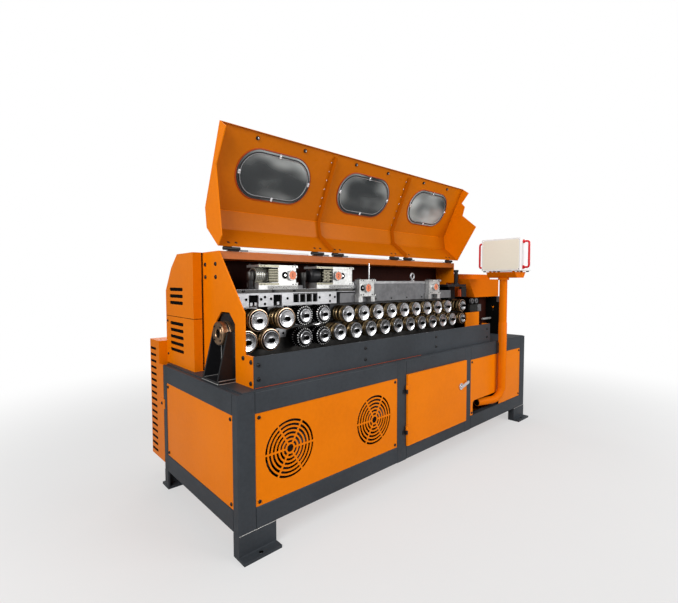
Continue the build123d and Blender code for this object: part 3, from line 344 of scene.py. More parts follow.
class Piece:
    """Grids of points in millimetres, gathered into one mesh that rides on a body."""

    def __init__(self, name):
        self.name = name
        self.finishes = []
        self.grids = []
        self.total = 0

    def add(self, grids, finish, wrap=(False, True), reach=1.0):
        """Add an array (..., rows, columns, 3): cell (r, c) is the quad to row r + 1 and column c + 1."""
        rows, columns = grids.shape[-3:-1]
        copies = grids.reshape(-1, rows * columns, 3)
        cells = np.arange(rows - 1 + wrap[0]), np.arange(columns - 1 + wrap[1])
        row, column = np.meshgrid(*cells, indexing="ij")
        below, beside = (row + 1) % rows, (column + 1) % columns
        corners = [(row, column), (row, beside), (below, beside), (below, column)]
        quads = np.stack([r * columns + c for r, c in corners], -1).reshape(-1, 4)
        starts = self.total + rows * columns * np.arange(len(copies))
        quads = (starts[:, None, None] + quads).reshape(-1, 4)
        if finish not in self.finishes:
            self.finishes.append(finish)
        reaches = np.broadcast_to(np.asarray(reach, float), (len(copies), rows, columns)).ravel()
        mark = np.full(len(quads), self.finishes.index(finish))
        self.grids.append((copies.reshape(-1, 3), quads, mark, reaches))
        self.total += copies.shape[0] * copies.shape[1]

    def plates(self, face, *rows):
        """Add slabs: (width, height, thickness), (x, y, z), finish, then corner, chamfer and sink."""
        for size, place, finish, *edges in rows:
            self.add(slab(*size, at(*place), face, *edges), finish)

    def heads(self, out, *rows):
        """Add turned heads along a direction: (reach, along) profile, (x, y, z), finish, then steps."""
        for profile, place, finish, *steps in rows:
            self.add(turned(profile, at(*place), out, *steps), finish)

    def build(self, slot, body="machine", *replaced):
        """Make the mesh, close its seams, turn its faces outwards and hang it on its body."""
        points, quads, marks, reaches = (np.concatenate(part) for part in zip(*self.grids))
        mesh = bpy.data.meshes.new(self.name)
        mesh.from_pydata((points * MM).tolist(), [], quads.tolist())
        for finish in self.finishes:
            mesh.materials.append(finish)
        mesh.polygons.foreach_set("material_index", marks.astype(np.int32))
        attribute = mesh.attributes.new("reach", "FLOAT", "POINT")
        attribute.data.foreach_set("value", reaches.astype(np.float32))
        shell = bmesh.new()
        shell.from_mesh(mesh)
        bmesh.ops.remove_doubles(shell, verts=shell.verts, dist=MERGE)
        bmesh.ops.recalc_face_normals(shell, faces=shell.faces)
        shell.to_mesh(mesh)
        shell.free()
        mesh.shade_smooth()
        mesh.set_sharp_from_angle(angle=CREASE)
        hang(bpy.data.objects.new(self.name, mesh), body, slot, *replaced)


def hang(piece, body, slot, *replaced):
    """Put a piece in the scene, on its body, and hide the nodes that it stands for; the paint slot is not
    used.
    """
    bpy.context.scene.collection.objects.link(piece)
    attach(piece, body)
    if replaced:
        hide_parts(*replaced)


def unit(vector):
    """The same direction with length 1."""
    return np.asarray(vector, float) / np.linalg.norm(vector)


def square_to(axis):
    """Two unit directions square to an axis and to each other."""
    other = (0, 0, 1) if abs(axis[2]) < 0.9 else (1, 0, 0)
    side = unit(np.cross(axis, other))
    return side, np.cross(axis, side)


def whirled(reach, along, centres, axis):
    """Rows about an axis: centre + along * axis + reach * (cos a * side + sin a * up), a reach per step."""
    axis = unit(axis)
    side, up = square_to(axis)
    angle = 2 * np.pi * np.arange(reach.shape[1]) / reach.shape[1]
    ring = np.cos(angle)[:, None] * side + np.sin(angle)[:, None] * up
    surface = np.asarray(along, float)[:, None, None] * axis + reach[..., None] * ring
    return np.asarray(centres, float).reshape(-1, 1, 1, 3) + surface


def turned(profile, centres, axis, steps=12):
    """A lathe: (reach, along) rows, the same reach all the way round."""
    reach, along = np.asarray(profile, float).T
    return whirled(np.repeat(reach[:, None], steps, 1), along, centres, axis)


def rounded(width, height, corner, per_corner=5):
    """A rectangle with round corners: each corner's centre plus corner * (cos a, sin a)."""
    quarter = np.linspace(0, np.pi / 2, per_corner)
    angle = (np.arange(4)[:, None] * np.pi / 2 + quarter).ravel()
    signs = np.array([[1, 1], [-1, 1], [-1, -1], [1, -1]]).repeat(per_corner, 0)
    arcs = corner * np.stack([np.cos(angle), np.sin(angle)], -1)
    return signs * (np.array([width, height]) / 2 - corner) + arcs


def lifted(outlines, heights, centres, face):
    """Outlines (rows, points, 2) on a face: centre + u * across + v * upward + height * out."""
    across, upward = (unit(direction) for direction in face)
    out = np.cross(across, upward)
    flat = outlines[..., :1] * across + outlines[..., 1:] * upward
    surface = flat + np.asarray(heights, float)[:, None, None] * out
    return np.asarray(centres, float).reshape(-1, 1, 1, 3) + surface


def slab(width, height, thickness, centres, face, corner=2.0, chamfer=1.0, sink=1.0):
    """A closed plate: a rounded outline from a sunk back to a chamfered front, with both ends filled."""
    outline = rounded(width, height, corner)
    trim = np.array([width - 2 * chamfer, height - 2 * chamfer]) / np.array([width, height])
    rows = np.stack([outline * 0, outline, outline, outline * trim, outline * 0])
    return lifted(rows, (-sink, -sink, thickness - chamfer, thickness, thickness), centres, face)


def framed(width, height, corner, profile, centres, face):
    """A profile of (offset, height) rows carried round a rounded rectangle that each offset widens."""
    rows = np.stack([rounded(width + 2 * o, height + 2 * o, corner + o, 9) for o, _ in profile])
    return lifted(rows, [h for _, h in profile], centres, face)


def bead(start, end, radius, pitch=7.0):
    """A weld: a rod from start to end whose reach swells as |sin| of the distance and closes at both ends."""
    start, end = np.asarray(start, float), np.asarray(end, float)
    length = np.linalg.norm(end - start)
    along = np.linspace(0, length, 4 * int(length / pitch) + 1)
    reach = radius * (0.75 + 0.25 * np.abs(np.sin(np.pi * along / pitch)))
    reach[[0, -1]] = 0
    return whirled(np.repeat(reach[:, None], 8, 1), along, start, end - start)


def button_head(radius):
    """A low dome with a socket: rows from the sunk back over the crown to the socket's floor."""
    dome = np.linspace(0, 0.9, 4) * np.pi / 2
    rows = [(0, -0.3), (1, -0.3), (1, 0.15)]
    rows += list(zip(0.45 + 0.55 * np.cos(dome), 0.15 + 0.45 * np.sin(dome)))
    rows += [(0.45, 0.6), (0.42, 0.25), (0, 0.25)]
    return np.array(rows) * radius


def cap_screw(radius):
    """A tall round head with a socket in it, as (reach, along) rows."""
    rows = [(0, -0.3), (1, -0.3), (1, 1.1), (0.9, 1.25), (0.55, 1.25), (0.5, 0.6), (0, 0.6)]
    return np.array(rows) * radius


def hex_head(radius):
    """A hexagon head, turned in six steps, with a chamfered top."""
    return np.array([(0, -0.3), (1, -0.3), (1, 0.55), (0.86, 0.68), (0, 0.68)]) * radius


def corners_of(u, v, inset):
    """The four corners of a rectangle given by two (low, high) spans, each moved in by an inset."""
    return np.meshgrid(*((low + inset, high - inset) for low, high in (u, v)))


FRONT = ((1, 0, 0), (0, 0, 1))
LEFT = ((0, -1, 0), (0, 0, 1))
TOP = ((1, 0, 0), (0, 1, 0))
OUT_FRONT, OUT_LEFT, OUT_TOP = (0, -1, 0), (-1, 0, 0), (0, 0, 1)
ALONG, INWARD = (1, 0, 0), (0, 1, 0)
print("piece builder ready; the base starts at", BASE_LEFT, BASE_FRONT)

# %% [markdown]
# The rollers are the heart of the machine. A real one is a bronze-coloured sleeve with turned grooves, closed
# by a bright steel cap that a black screw holds. A lathe profile gives all of this: the rows run from the
# screw's socket over the cap and the rim, through the grooves, to the shaft. The share of the radius that
# each row reaches is kept on the mesh, so that the finish can paint shade into the grooves and ring the face.


# %% Rollers
GROOVES = ((25.0, 14.0, 0.17), (54.0, 26.0, 0.30), (83.0, 14.0, 0.17))
SLEEVE_START, SLEEVE_END, SHAFT_END = 8.0, 100.0, 141.7
SHAFT_SHARE, BORE_SHARE, CORE_SHARE = 0.42, 0.6, 0.7
SCREW_SHARE, SCREW_RISE = 0.21, 17.0
CAP_SHARES = {"feed": 0.82, "toothed": 0.70, "exit": 0.74, "roller": 0.93}
ROLLER_STEPS = 48
TOOTH_STARTS, TOOTH_WIDTH = (SLEEVE_START + 2, SLEEVE_END - 40), 38.0
SPIN = "_spin"


def groove_rows(radius):
    """Three turned grooves: the reach dips by a raised cosine across each groove's width."""
    share = np.linspace(-0.5, 0.5, 9)
    dip = 0.5 * (1 + np.cos(2 * np.pi * share))
    rows = [(radius * (1 - depth * dip), middle + width * share) for middle, width, depth in GROOVES]
    return np.concatenate([np.transpose(row) for row in rows])


def cap_rows(cap, screw):
    """The bright cap: a chamfered rim, a flat ring, a step, and a shallow cone down to the screw."""
    return [(cap, SLEEVE_START + 2), (cap, 1.6), (cap - 1.6, 0), (cap * 0.9, 0), (cap * 0.88, 0.6),
            (cap * 0.46, 2.6), (cap * 0.40, 2.8), (screw * 1.05, 2.8)]


def screw_rows(screw):
    """The black cap screw in the middle, with its socket."""
    return [(screw * 1.05, 2.8), (screw, 2.6), (screw, 1.2 - SCREW_RISE), (screw * 0.9, -SCREW_RISE),
            (screw * 0.58, -SCREW_RISE), (screw * 0.52, -SCREW_RISE * 0.45), (0, -SCREW_RISE * 0.45)]


def sleeve_parts(kind, radius, cap):
    """What lies between cap and shaft: a black core under teeth, or grooves behind a shoulder or a rim."""
    seat, bore = (cap, SLEEVE_START + 2), (radius * BORE_SHARE, SLEEVE_END)
    if kind == "toothed":
        core = radius * CORE_SHARE
        return [([seat, (core, SLEEVE_START + 4), (core, SLEEVE_END), bore], black)]
    grooves = [*groove_rows(radius), (radius, SLEEVE_END), bore]
    if kind == "roller":
        shoulder = [seat, (cap - 3, SLEEVE_START + 3), (radius - 2, SLEEVE_START + 4)]
        return [(shoulder, dark_steel), ([shoulder[-1], *grooves], bronze)]
    rim = [(radius - 4.5, SLEEVE_START), (radius - 3.5, SLEEVE_START - 1.2),
           (radius - 0.8, SLEEVE_START - 0.6), (radius, SLEEVE_START + 3)]
    # Painted shade: the gap between cap and rim is near black.
    gap = [seat, (radius - 5.5, SLEEVE_START + 6), rim[0]]
    return [(gap, shade_black), (rim, brass_rim), ([rim[-1], *grooves], bronze)]


def shaft_rows(radius):
    """The shaft behind the sleeve, to its closed back end."""
    shaft = radius * SHAFT_SHARE
    return [(radius * BORE_SHARE, SLEEVE_END), (shaft, SLEEVE_END + 1), (shaft, SHAFT_END), (0, SHAFT_END)]


def toothed_ring(piece, radius, centre, start, end, teeth=24, per_tooth=8):
    """Teeth: the reach swings between root and tip as a steepened sine of the angle; the front edges of the
    tips carry a painted highlight.
    """
    angle = np.arange(teeth * per_tooth) / per_tooth
    swing = np.clip(0.5 + 1.2 * np.sin(2 * np.pi * angle), 0, 1)
    outline = radius * (0.82 + 0.18 * swing)
    core = np.full_like(outline, 0.72 * radius)
    along = np.array([start, start, start + 2, end - 2, end, end])
    reach = np.stack([core, outline - 1.5, outline, outline, outline - 1.5, core])
    # Painted highlight: this value kept on the mesh brightens the front edges of the tips.
    tip_highlight = np.stack([0 * swing, swing, 0.62 * swing, 0 * swing, 0 * swing, 0 * swing])
    piece.add(whirled(reach, along, centre, INWARD), tooth_steel, reach=tip_highlight)


front_face = where("lower_roller_01")[1][1] - SHAFT_END
roller_names = [name.removesuffix(SPIN) for name in joints if name.endswith(SPIN)]
for name in roller_names:
    low, high = where(name)
    radius = (high[0] - low[0]) / 2
    kind = next(word for word in CAP_SHARES if word in name)
    centre = np.array([(low[0] + high[0]) / 2, front_face, (low[2] + high[2]) / 2])
    cap, screw = radius * CAP_SHARES[kind], radius * SCREW_SHARE
    # The black screw and its socket take the near-black painted shade.
    parts = [(screw_rows(screw), shade_black), (cap_rows(cap, screw), bright_face)]
    parts += [*sleeve_parts(kind, radius, cap), (shaft_rows(radius), dark_steel)]
    piece = Piece(name + "_turned")
    for rows, finish in parts:
        rows = np.asarray(rows, float)
        share = (rows[:, :1] / radius).repeat(ROLLER_STEPS, 1)
        piece.add(turned(rows, centre, INWARD, ROLLER_STEPS), finish, reach=share)
    if kind == "toothed":
        for start in TOOTH_STARTS:
            toothed_ring(piece, radius, centre, start, start + TOOTH_WIDTH)
    piece.build("roller_steel", name + "_body", name)
print("rollers:", len(roller_names))

# %% [markdown]
# A bright guide strip runs behind the wheels on the pass line, and shows as a wavy line in the gaps between
# them. Its section is a small circle carried along a wave: the height is a sine of the distance.


# %% Pass line guide
def wavy_rod(x, y, height, swing, pitch, reach):
    """A rod along x whose axis rises and falls by swing * sin(2 pi x / pitch), closed at both ends."""
    axis = at(x, y, height + swing * np.sin(2 * np.pi * x / pitch))
    angle = np.linspace(0, 2 * np.pi, 10, endpoint=False)
    ring = np.stack([0 * angle, np.cos(angle), np.sin(angle)], -1) * reach
    size = np.ones(len(x))
    size[[0, -1]] = 0
    return axis[:, None] + size[:, None, None] * ring


PASS_HEIGHT = 977
WAVE_X, WAVE = np.linspace(500, 860, 73), {"height": 974, "swing": 5, "pitch": 108, "reach": 4.5}
BRACKET_HOLE = [(7, 6.3), (0, 6.2)]
bed_front = where("roller_bed")[0][1] - BASE_FRONT
strip = Piece("pass_line_guide")
strip.add(wavy_rod(WAVE_X, bed_front - 2, **WAVE), chrome)
strip.plates(FRONT, ((70, 60, 6), (470, bed_front, 945), milled, 6))
# The bracket's holes are filled with near-black painted shade.
strip.heads(OUT_FRONT, (BRACKET_HOLE, ((450, 485), bed_front, (950, 938)), shade_black, 16))
strip.build("bright_steel")
print("pass line guide:", len(WAVE_X), "stations")

# %% [markdown]
# Black button-head screws hold every sheet. One profile is turned once for each place, all places in one
# array, which is lighter than an object for each screw.

# %% Sheet screws
PANEL_SCREW, PANEL_INSET, PANEL_PROUD, PANEL_HEIGHTS = button_head(9), 20, 4, (210, 639)
PLATE_FACE, APRON_FACE = 102, 26
PLATE_SCREWS = ((516, 1324), (395, 1324), (515, 1257), (395, 1257), (123, 874), (52, 864), (56, 765))
screws = Piece("panel_screws")
for ends in ((90, 1082.9), (1947.9, 2790)):
    x, z = corners_of(ends, PANEL_HEIGHTS, PANEL_INSET)
    screws.heads(OUT_FRONT, (PANEL_SCREW, (x, PANEL_PROUD, z), black))
y, z = corners_of((50, 850), PANEL_HEIGHTS, PANEL_INSET)
screws.heads(OUT_LEFT, (PANEL_SCREW, (PANEL_PROUD, y, z), black))
screws.build("black_steel")
bay_screws = Piece("bay_screws")
x, z = np.meshgrid((125, 826, 1523, 2234), (786, 852))
bay_screws.heads(OUT_LEFT, (button_head(11), (PLATE_FACE, *np.transpose(PLATE_SCREWS)), black))
bay_screws.heads(OUT_FRONT, (button_head(10), (x, APRON_FACE, z), black))
bay_screws.build("black_steel")
print("sheet screws: 12 on panels,", len(PLATE_SCREWS), "on the side plate,", x.size, "on the apron")

# %% [markdown]
# Behind the fan grilles the cabinet is dark. A shroud of near-black painted shade with a black fan hub stands
# close behind the sheet: a turned dish for the shroud, and blades that twist as they reach out.


# %% Fans behind the grilles
def blades(count, root, tip, centre, chord=36):
    """Fan blades: angle = blade + sweep * (u, v), reach from root to tip, depth = chord * (u - 0.5)."""
    u, v = np.meshgrid(np.linspace(0, 1, 5), np.linspace(0, 1, 7))
    reach = root + (tip - root) * v
    angle = 2 * np.pi * np.arange(count)[:, None, None] / count + 0.7 * (u - 0.5) + 0.25 * v
    depth = chord * (u - 0.5) * np.ones_like(angle)
    return centre + np.stack([reach * np.cos(angle), depth, reach * np.sin(angle)], -1)


GRILLES = ((282.6, 879.3), 7, 430.1)
SHADE_SHROUD = [(0, -62), (150, -62), (152, -1), (148, -1), (146, -58), (0, -58)]
HUB = [(0, -58), (40, -58), (40, -24), (34, -20), (0, -20)]
BLADES, BLADE_ROOT, BLADE_TIP = 7, 38, 138
BLADE_BACK, BLADE_THICK = (0, 38, 0), (0, 1.5, 0)
fans = Piece("cabinet_fans")
# Painted shade: the shroud is near black, standing for the dark cabinet behind the grille.
fans.heads(OUT_FRONT, (SHADE_SHROUD, GRILLES, shade_black, 40), (HUB, GRILLES, black, 24))
for middle in at(*GRILLES):
    thin = blades(BLADES, BLADE_ROOT, BLADE_TIP, middle + BLADE_BACK)
    thick = np.stack([thin, thin + BLADE_THICK], -2).reshape(BLADES, 7, 10, 3)
    fans.add(thick, black, wrap=(False, False))
fans.build("black_steel")
print("fans:", len(GRILLES[0]), "with", BLADES, "blades each")

# %% [markdown]
# Louvres and slots look black because they open into a dark box. The CAD slots are blind, so a plate of
# near-black painted shade fills each one: inside the mouth on the drive cover, and flush with the sheet on
# the narrow rear box.

# %% Dark slots
DRIVE_SLOTS, REAR_SLOTS = (834, 873, 912, 951, 990, 1111, 1150, 1189), 185 + 39.8 * np.arange(17)
slots = Piece("louvre_shade_plates")
slots.plates(LEFT, ((199, 19, 12), (62, 795, DRIVE_SLOTS), shade_black, 9, 0.2))
slots.plates(LEFT, ((96, 15, 0.8), (0, 1059, REAR_SLOTS), shade_black, 7, 0.3))
slots.build("black_steel")
print("dark slots:", len(DRIVE_SLOTS) + len(REAR_SLOTS))

# %% [markdown]
# The hood's windows are held from inside: a sealant bead, a rubber gasket and four chrome clips round each
# pane. The big face of the hood gives the plane: it runs down from the top edge, and its inner side faces
# the camera. A profile carried round a rounded rectangle makes each ring in one grid.

# %% Hood windows
hinge = (np.array(joints["hood_hinge"]["pos_m"]) / MM - at(0, 0, 0))[1:]
HOOD_TOP, HOOD_BACK = np.array((-46, 616)), np.array((135, 219))
face_run = unit(HOOD_BACK - HOOD_TOP)
FACE = np.array(((1, 0, 0), (0, *-face_run)))
OUT_FACE = np.cross(*FACE)


def on_hood(x, down, lift):
    """Points inside the hood: x from the base's left end, down the big face, lift off its outer side."""
    y, z = np.moveaxis(hinge + HOOD_TOP + np.asarray(down, float)[..., None] * face_run, -1, 0)
    return at(x, y, z) + lift * OUT_FACE


WINDOW_X, WINDOW_DOWN, PANE_LIFT = (467.7, 1192.3, 1926.9), 218.2, 7
WINDOW = (450, 232, 116)
SEAL = [(0, -1), (0, 3), (1, 4.5), (5, 4.5), (6.5, 3), (6.5, -1)]
INNER_BEAD = [(-4, -1), (-4, 1.5), (-3, 2.5), (-0.5, 2.5), (-0.5, -1)]
SEALANT = [(19, -5), (18.5, 0.5), (20, 2), (23, 0.5), (24, -5)]
CLIP, CLIP_PLACES = (15, 24, 8), np.array(((0, 121), (0, -121), (-230, 0), (230, 0)))
middles = on_hood(WINDOW_X, WINDOW_DOWN, PANE_LIFT)
gaskets = Piece("window_gaskets")
for profile, finish in ((SEAL, rubber), (INNER_BEAD, milled), (SEALANT, bead_red)):
    gaskets.add(framed(*WINDOW, profile, middles, FACE), finish, wrap=(True, True))
clips = middles[:, None] + CLIP_PLACES @ FACE
gaskets.add(slab(*CLIP, clips, FACE, 4), chrome)
gaskets.add(turned(button_head(5), clips + CLIP[2] * OUT_FACE, OUT_FACE, 10), chrome)
gaskets.build("black_steel", "hood")
print("windows:", len(middles), "with", len(CLIP_PLACES), "clips each")

# %% [markdown]
# Small fixings of the hood: studs along the top edge, rivets up the two ribs, screws in the hinge leaves, and
# a fine rod in the fold that catches the light as a bend does. A pale strip with grey blocks closes the hinge
# line.

# %% Hood fixings
LIP_DOWN, SHEET_LIFT = 34, 3
STUD_TIP = [(4.5, 6), (4.5, 11), (3.5, 12), (0, 12)]
HINGES = np.array((170, 742.6, 909.5, 1465.2, 1624.1, 2178.7))
HEEL_RUN = unit((126, 102))
LEAF_START, LEAF_DOWN = np.array((-6, 10)), 34
FOLD_INSET, FOLD_SHORT, FOLD_LIFT, FOLD_REACH = 30, 120, 3.4, 1.6
fixings = Piece("hood_fixings")
lip = on_hood((311, 625, 1041, 1352, 1767, 2087), LIP_DOWN, SHEET_LIFT)
rivets = on_hood(*np.meshgrid((837.6, 1567.1), np.linspace(60, 390, 7)), SHEET_LIFT)
fixings.add(turned(hex_head(11), lip, OUT_FACE, 6), black)
fixings.add(turned(STUD_TIP, lip, OUT_FACE, 10), chrome)
fixings.add(turned(button_head(4.5), rivets, OUT_FACE, 8), chrome)
leaf = (HINGES[:, None] + (-8, 36), *hinge + LEAF_START + LEAF_DOWN * HEEL_RUN)
fixings.heads((0, -HEEL_RUN[1], HEEL_RUN[0]), (button_head(9), leaf, black))
shell_left, shell_right = where("hood_shell")[:, 0] - BASE_LEFT
fold_length = shell_right - shell_left - FOLD_SHORT
fold = on_hood(shell_left + FOLD_INSET, np.linalg.norm(HOOD_BACK - HOOD_TOP), FOLD_LIFT)
fold_rows = [(0, 0), (FOLD_REACH, 0), (FOLD_REACH, fold_length), (0, fold_length)]
fixings.add(turned(fold_rows, fold, ALONG, 8), orange)
fixings.build("bright_steel", "hood")

HINGE_GAP, RAIL_Y, RAIL_Z = 58, 371, 1396
rail = Piece("hinge_line_rail")
for start, end in zip(HINGES[:-1] + HINGE_GAP, HINGES[1:] - HINGE_GAP):
    rail.plates(FRONT, ((end - start, 9, 3), ((start + end) / 2, RAIL_Y, RAIL_Z), white, 1, 0.5))
    rail.plates(FRONT, ((44, 9, 6), (start + 24, RAIL_Y, RAIL_Z), cast_grey, 2, 0.5))
rail.build("bright_steel")
print("hood fixings:", len(lip), "studs,", rivets.size // 3, "rivets,", leaf[0].size, "leaf screws")

# %% [markdown]
# The screw jacks are cast cases. Each has a salmon number disc in a pale ring, a dark shaft hole beside it,
# and black screws in its flanges. The numerals are plain figures, made a mesh before they are put in place.

# %% Jack details
JACK_X, JACK_FACE = np.array((477.4, 816.6, 1048.7, 1793.9)), np.array((244, 244, 214, 214))
JACK_Z = np.array((1267, 1267, 1191.5, 1191.5))
DISC_RIM = [(0, -2), (28.4, -5.5), (28.4, 0.6), (27.4, 1.4), (24.4, 1.4), (24, 0.7)]
DISC_FACE = [(24, 0.7), (10.5, 0.7), (0, 0.7)]
RIM_DOT, RIM_DOTS, DOT_REACH = [(2.2, 1.2), (2.2, 2.2), (0, 2.4)], 8, 26.2
HOLE_COLLAR = [(22, -4), (22, 0.8), (20, 1.2), (19, 0.6)]
HOLE_FLOOR = [(19, 0.6), (7, 0.5)]
HOLE_SHAFT = [(7, 0.5), (7, 5), (6, 6), (0, 6)]
FLANGES = (  # left, right, front, back, top, and how far the lower flange's screws lie below the top
    (266.9, 516.9, 250, 370, 1320, 102), (652, 952, 250, 370, 1320, 102),
    (973.7, 1123.7, 220, 262, 1245, 97), (1718.9, 1868.9, 220, 262, 1245, 97),
)
FLANGE_INSET, EDGE_INSETS, EDGE_DROP = 12, np.array((14, 34)), 6
discs, holes = (JACK_X, JACK_FACE, JACK_Z), ((435, 862, 1008, 1836), JACK_FACE + 14, JACK_Z)
angle = 2 * np.pi * np.arange(RIM_DOTS)[:, None] / RIM_DOTS
dots = (JACK_X + DOT_REACH * np.cos(angle), JACK_FACE, JACK_Z + DOT_REACH * np.sin(angle))
jacks = Piece("jack_discs")
jacks.heads(OUT_FRONT, (DISC_RIM, discs, cast_alloy, 40), (DISC_FACE, discs, salmon, 40))
jacks.heads(OUT_FRONT, (RIM_DOT, dots, black, 8), (HOLE_COLLAR, holes, cast_alloy, 32))
# The floor of each shaft hole is near-black painted shade.
jacks.heads(OUT_FRONT, (HOLE_FLOOR, holes, shade_black, 32), (HOLE_SHAFT, holes, chrome, 24))
for left, right, front, back, top, drop in FLANGES:
    x, y = corners_of((left, right), (front, back), FLANGE_INSET)
    jacks.heads(OUT_TOP, (cap_screw(6), (x, y, top), black))
    edge_x, edge_z = np.meshgrid((*left + EDGE_INSETS, *right - EDGE_INSETS), (top - EDGE_DROP, top - drop))
    jacks.heads(OUT_FRONT, (button_head(4), (edge_x, front, edge_z), black, 10))
jacks.build("jack_aluminium")

FIGURE_SIZE, FIGURE_THICK, FIGURE_PROUD = 30, 0.4, (0, -0.9, 0)


def numeral(figure, centre):
    """A plain figure: text made a mesh, then stood upright on a front face at its centre."""
    curve = bpy.data.curves.new("figure_" + figure, "FONT")
    curve.body = figure
    curve.size, curve.extrude = FIGURE_SIZE * MM, FIGURE_THICK * MM
    curve.align_x, curve.align_y = "CENTER", "CENTER"
    text = bpy.data.objects.new("figure_" + figure, curve)
    mesh = bpy.data.meshes.new_from_object(text)
    bpy.data.objects.remove(text)
    mesh.transform(Matrix.Translation(Vector(centre * MM)) @ Matrix.Rotation(math.pi / 2, 4, "X"))
    mesh.materials.clear()
    mesh.materials.append(slate)
    hang(bpy.data.objects.new("jack_figure_" + figure, mesh), "machine", "cast_grey")


for figure, centre in zip("1234", at(*discs)):
    numeral(figure, centre + FIGURE_PROUD)
print("jacks:", len(JACK_X), "with", len(FLANGES), "flanged cases")

# %% [markdown]
# The motors beside the bridge jacks have fins that run along them, so the reach swings with the angle and not
# with the length. A black bell closes the end of the second, and ribbed plates of the same alloy cover the
# flanges' ends.


# %% Jack motors
def finned(start, length, radius, fins=26, per_fin=6):
    """A motor along x: the reach steps between core and fin as a steepened sine of the angle, ends filled."""
    angle = np.arange(fins * per_fin) / per_fin
    outline = radius * (0.86 + 0.14 * np.clip(0.5 + 1.5 * np.sin(2 * np.pi * angle), 0, 1))
    reach = np.stack([0 * outline, outline - 2, outline, outline, outline - 2, 0 * outline])
    return whirled(reach, np.array([0, 0, 2, length - 2, length, length]), start, ALONG)


MOTOR_Y, MOTOR_Z, MOTOR_REACH = 310, 1267, 41
MOTORS = ((266.4, 75), (698, 78))
RIBS = 1236 + 8.6 * np.arange(8)
BELL = [(0, -18), (30, -18), (38, -12), (41, -4), (41.5, 46), (36, 47), (0, 47)]
MOTOR_CAP = [(0, -5), (26, -5), (30, -2), (30, 0)]
motors = Piece("jack_motors")
for start, length in MOTORS:
    motors.add(finned(at(start, MOTOR_Y, MOTOR_Z), length, MOTOR_REACH), olive_alloy)
motors.plates(
    FRONT,
    # The first two plates are near-black painted shade behind the ribs.
    ((62, 78, 1), (360, 258, MOTOR_Z), shade_black, 2, 0.3),
    ((74, 80, 3), (739, 268, MOTOR_Z), shade_black, 2, 0.3, 6),
    ((62, 5, 7), (360, 258, RIBS), olive_alloy, 2, 0.8),
    ((24, 6, 10), ((715, 745), 266, RIBS[::2, None]), olive_alloy, 2, 0.8),
    ((30, 7, 8), ((728, 762), 266, RIBS[1::2, None]), olive_alloy, 2, 0.8),
    ((125.6, 11, 1.2), (329.2, 250, (1220, 1314)), olive_alloy, 2, 0.4),
    ((125, 11, 1.2), (714.5, 250, (1220, 1314)), olive_alloy, 2, 0.4),
)
for profile, x in ((BELL, 652), (MOTOR_CAP, 266.4)):
    motors.heads(ALONG, (profile, (x, MOTOR_Y, MOTOR_Z), black, 32))
motors.build("jack_aluminium")
print("motors:", len(MOTORS), "with", len(RIBS), "ribs beside each")

# %% [markdown]
# The bridge is milled steel with tapped holes in its web, black screws along its edge and two clamping studs.
# Holes cut into the mesh would have to be repeated in the solid, so each is a thin ring with a floor of
# near-black painted shade.

# %% Bridge details
BRIDGE_FACE = 250
WEB_HOLES = ((149, 1151), (193, 1142), (280, 1141), (303, 1152), (303, 1116), (340, 1142), (446, 1141),
             (673, 1140), (753, 1151), (753, 1116), (792, 1140))
WEB_RING = [(9.5, -3), (9.5, 0.4), (8.2, 0.6), (7.6, 0.2)]
WEB_FLOOR = [(7.6, 0.2), (0, 0.15)]
STUDS = ((245.8, 588.8), 297.5, 1192)
STUD_LOW = [(0, -1), (21, -1), (21, 11), (19, 13), (15.5, 13), (15.5, 48), (15.4, 48)]
STUD_HIGH = [(15.4, 48), (19, 48), (20, 50), (20, 90), (18, 93), (0, 93)]
hole_x, hole_z = np.transpose(WEB_HOLES)
web_holes = (hole_x, BRIDGE_FACE, hole_z)
bridge = Piece("bridge_details")
bridge.heads(OUT_FRONT, (WEB_RING, web_holes, milled, 16), (WEB_FLOOR, web_holes, shade_black, 16))
bridge.heads(OUT_FRONT, (cap_screw(7), ((178, 356, 490, 805, 951), BRIDGE_FACE, 1184), black))
bridge.heads(OUT_TOP, (STUD_LOW, STUDS, black, 24), (STUD_HIGH, STUDS, dark_steel, 24))
bridge.plates(
    FRONT,
    ((829, 20, 1.2), (547.3, BRIDGE_FACE, 1181), dark_steel, 1, 0.5),
    ((829, 3, 0.8), (547.3, 249, 1171.5), milled, 0.5, 0.3),
    ((16, 18, 3), ((228, 255, 392), 264, 1116), milled, 2),
    # The thin near-black strip is painted shade in a gap.
    ((176, 4, 0.6), (570, BRIDGE_FACE, 1166), shade_black, 1, 0.2),
)
# Near-black plates of painted shade darken the web's windows.
for middle, width in ((236, 58), (382, 54), (570, 172)):
    bridge.plates(FRONT, ((width, 50, 2), (middle, 266, 1138), shade_black, 2, 0.4))
for middle, width in ((434, 236), (857, 230)):
    bridge.plates(TOP, ((width, 118, 19), (middle, 309, 1193), cast_grey, 3))
bridge.build("machined_steel")
print("bridge:", len(WEB_HOLES), "holes,", len(STUDS[0]), "studs")

# %% [markdown]
# The press beam carries a bright lifting eye. A torus is the simplest grid of all: one circle carried round
# another.


# %% Press beam details
def torus(major, minor, centre, axis, steps=40, sides=14):
    """A ring: reach = major + minor * cos b, along = minor * sin b, turned about the axis."""
    b = np.linspace(0, 2 * np.pi, sides, endpoint=False)
    return turned(np.stack([major + minor * np.cos(b), minor * np.sin(b)], -1), centre, axis, steps)


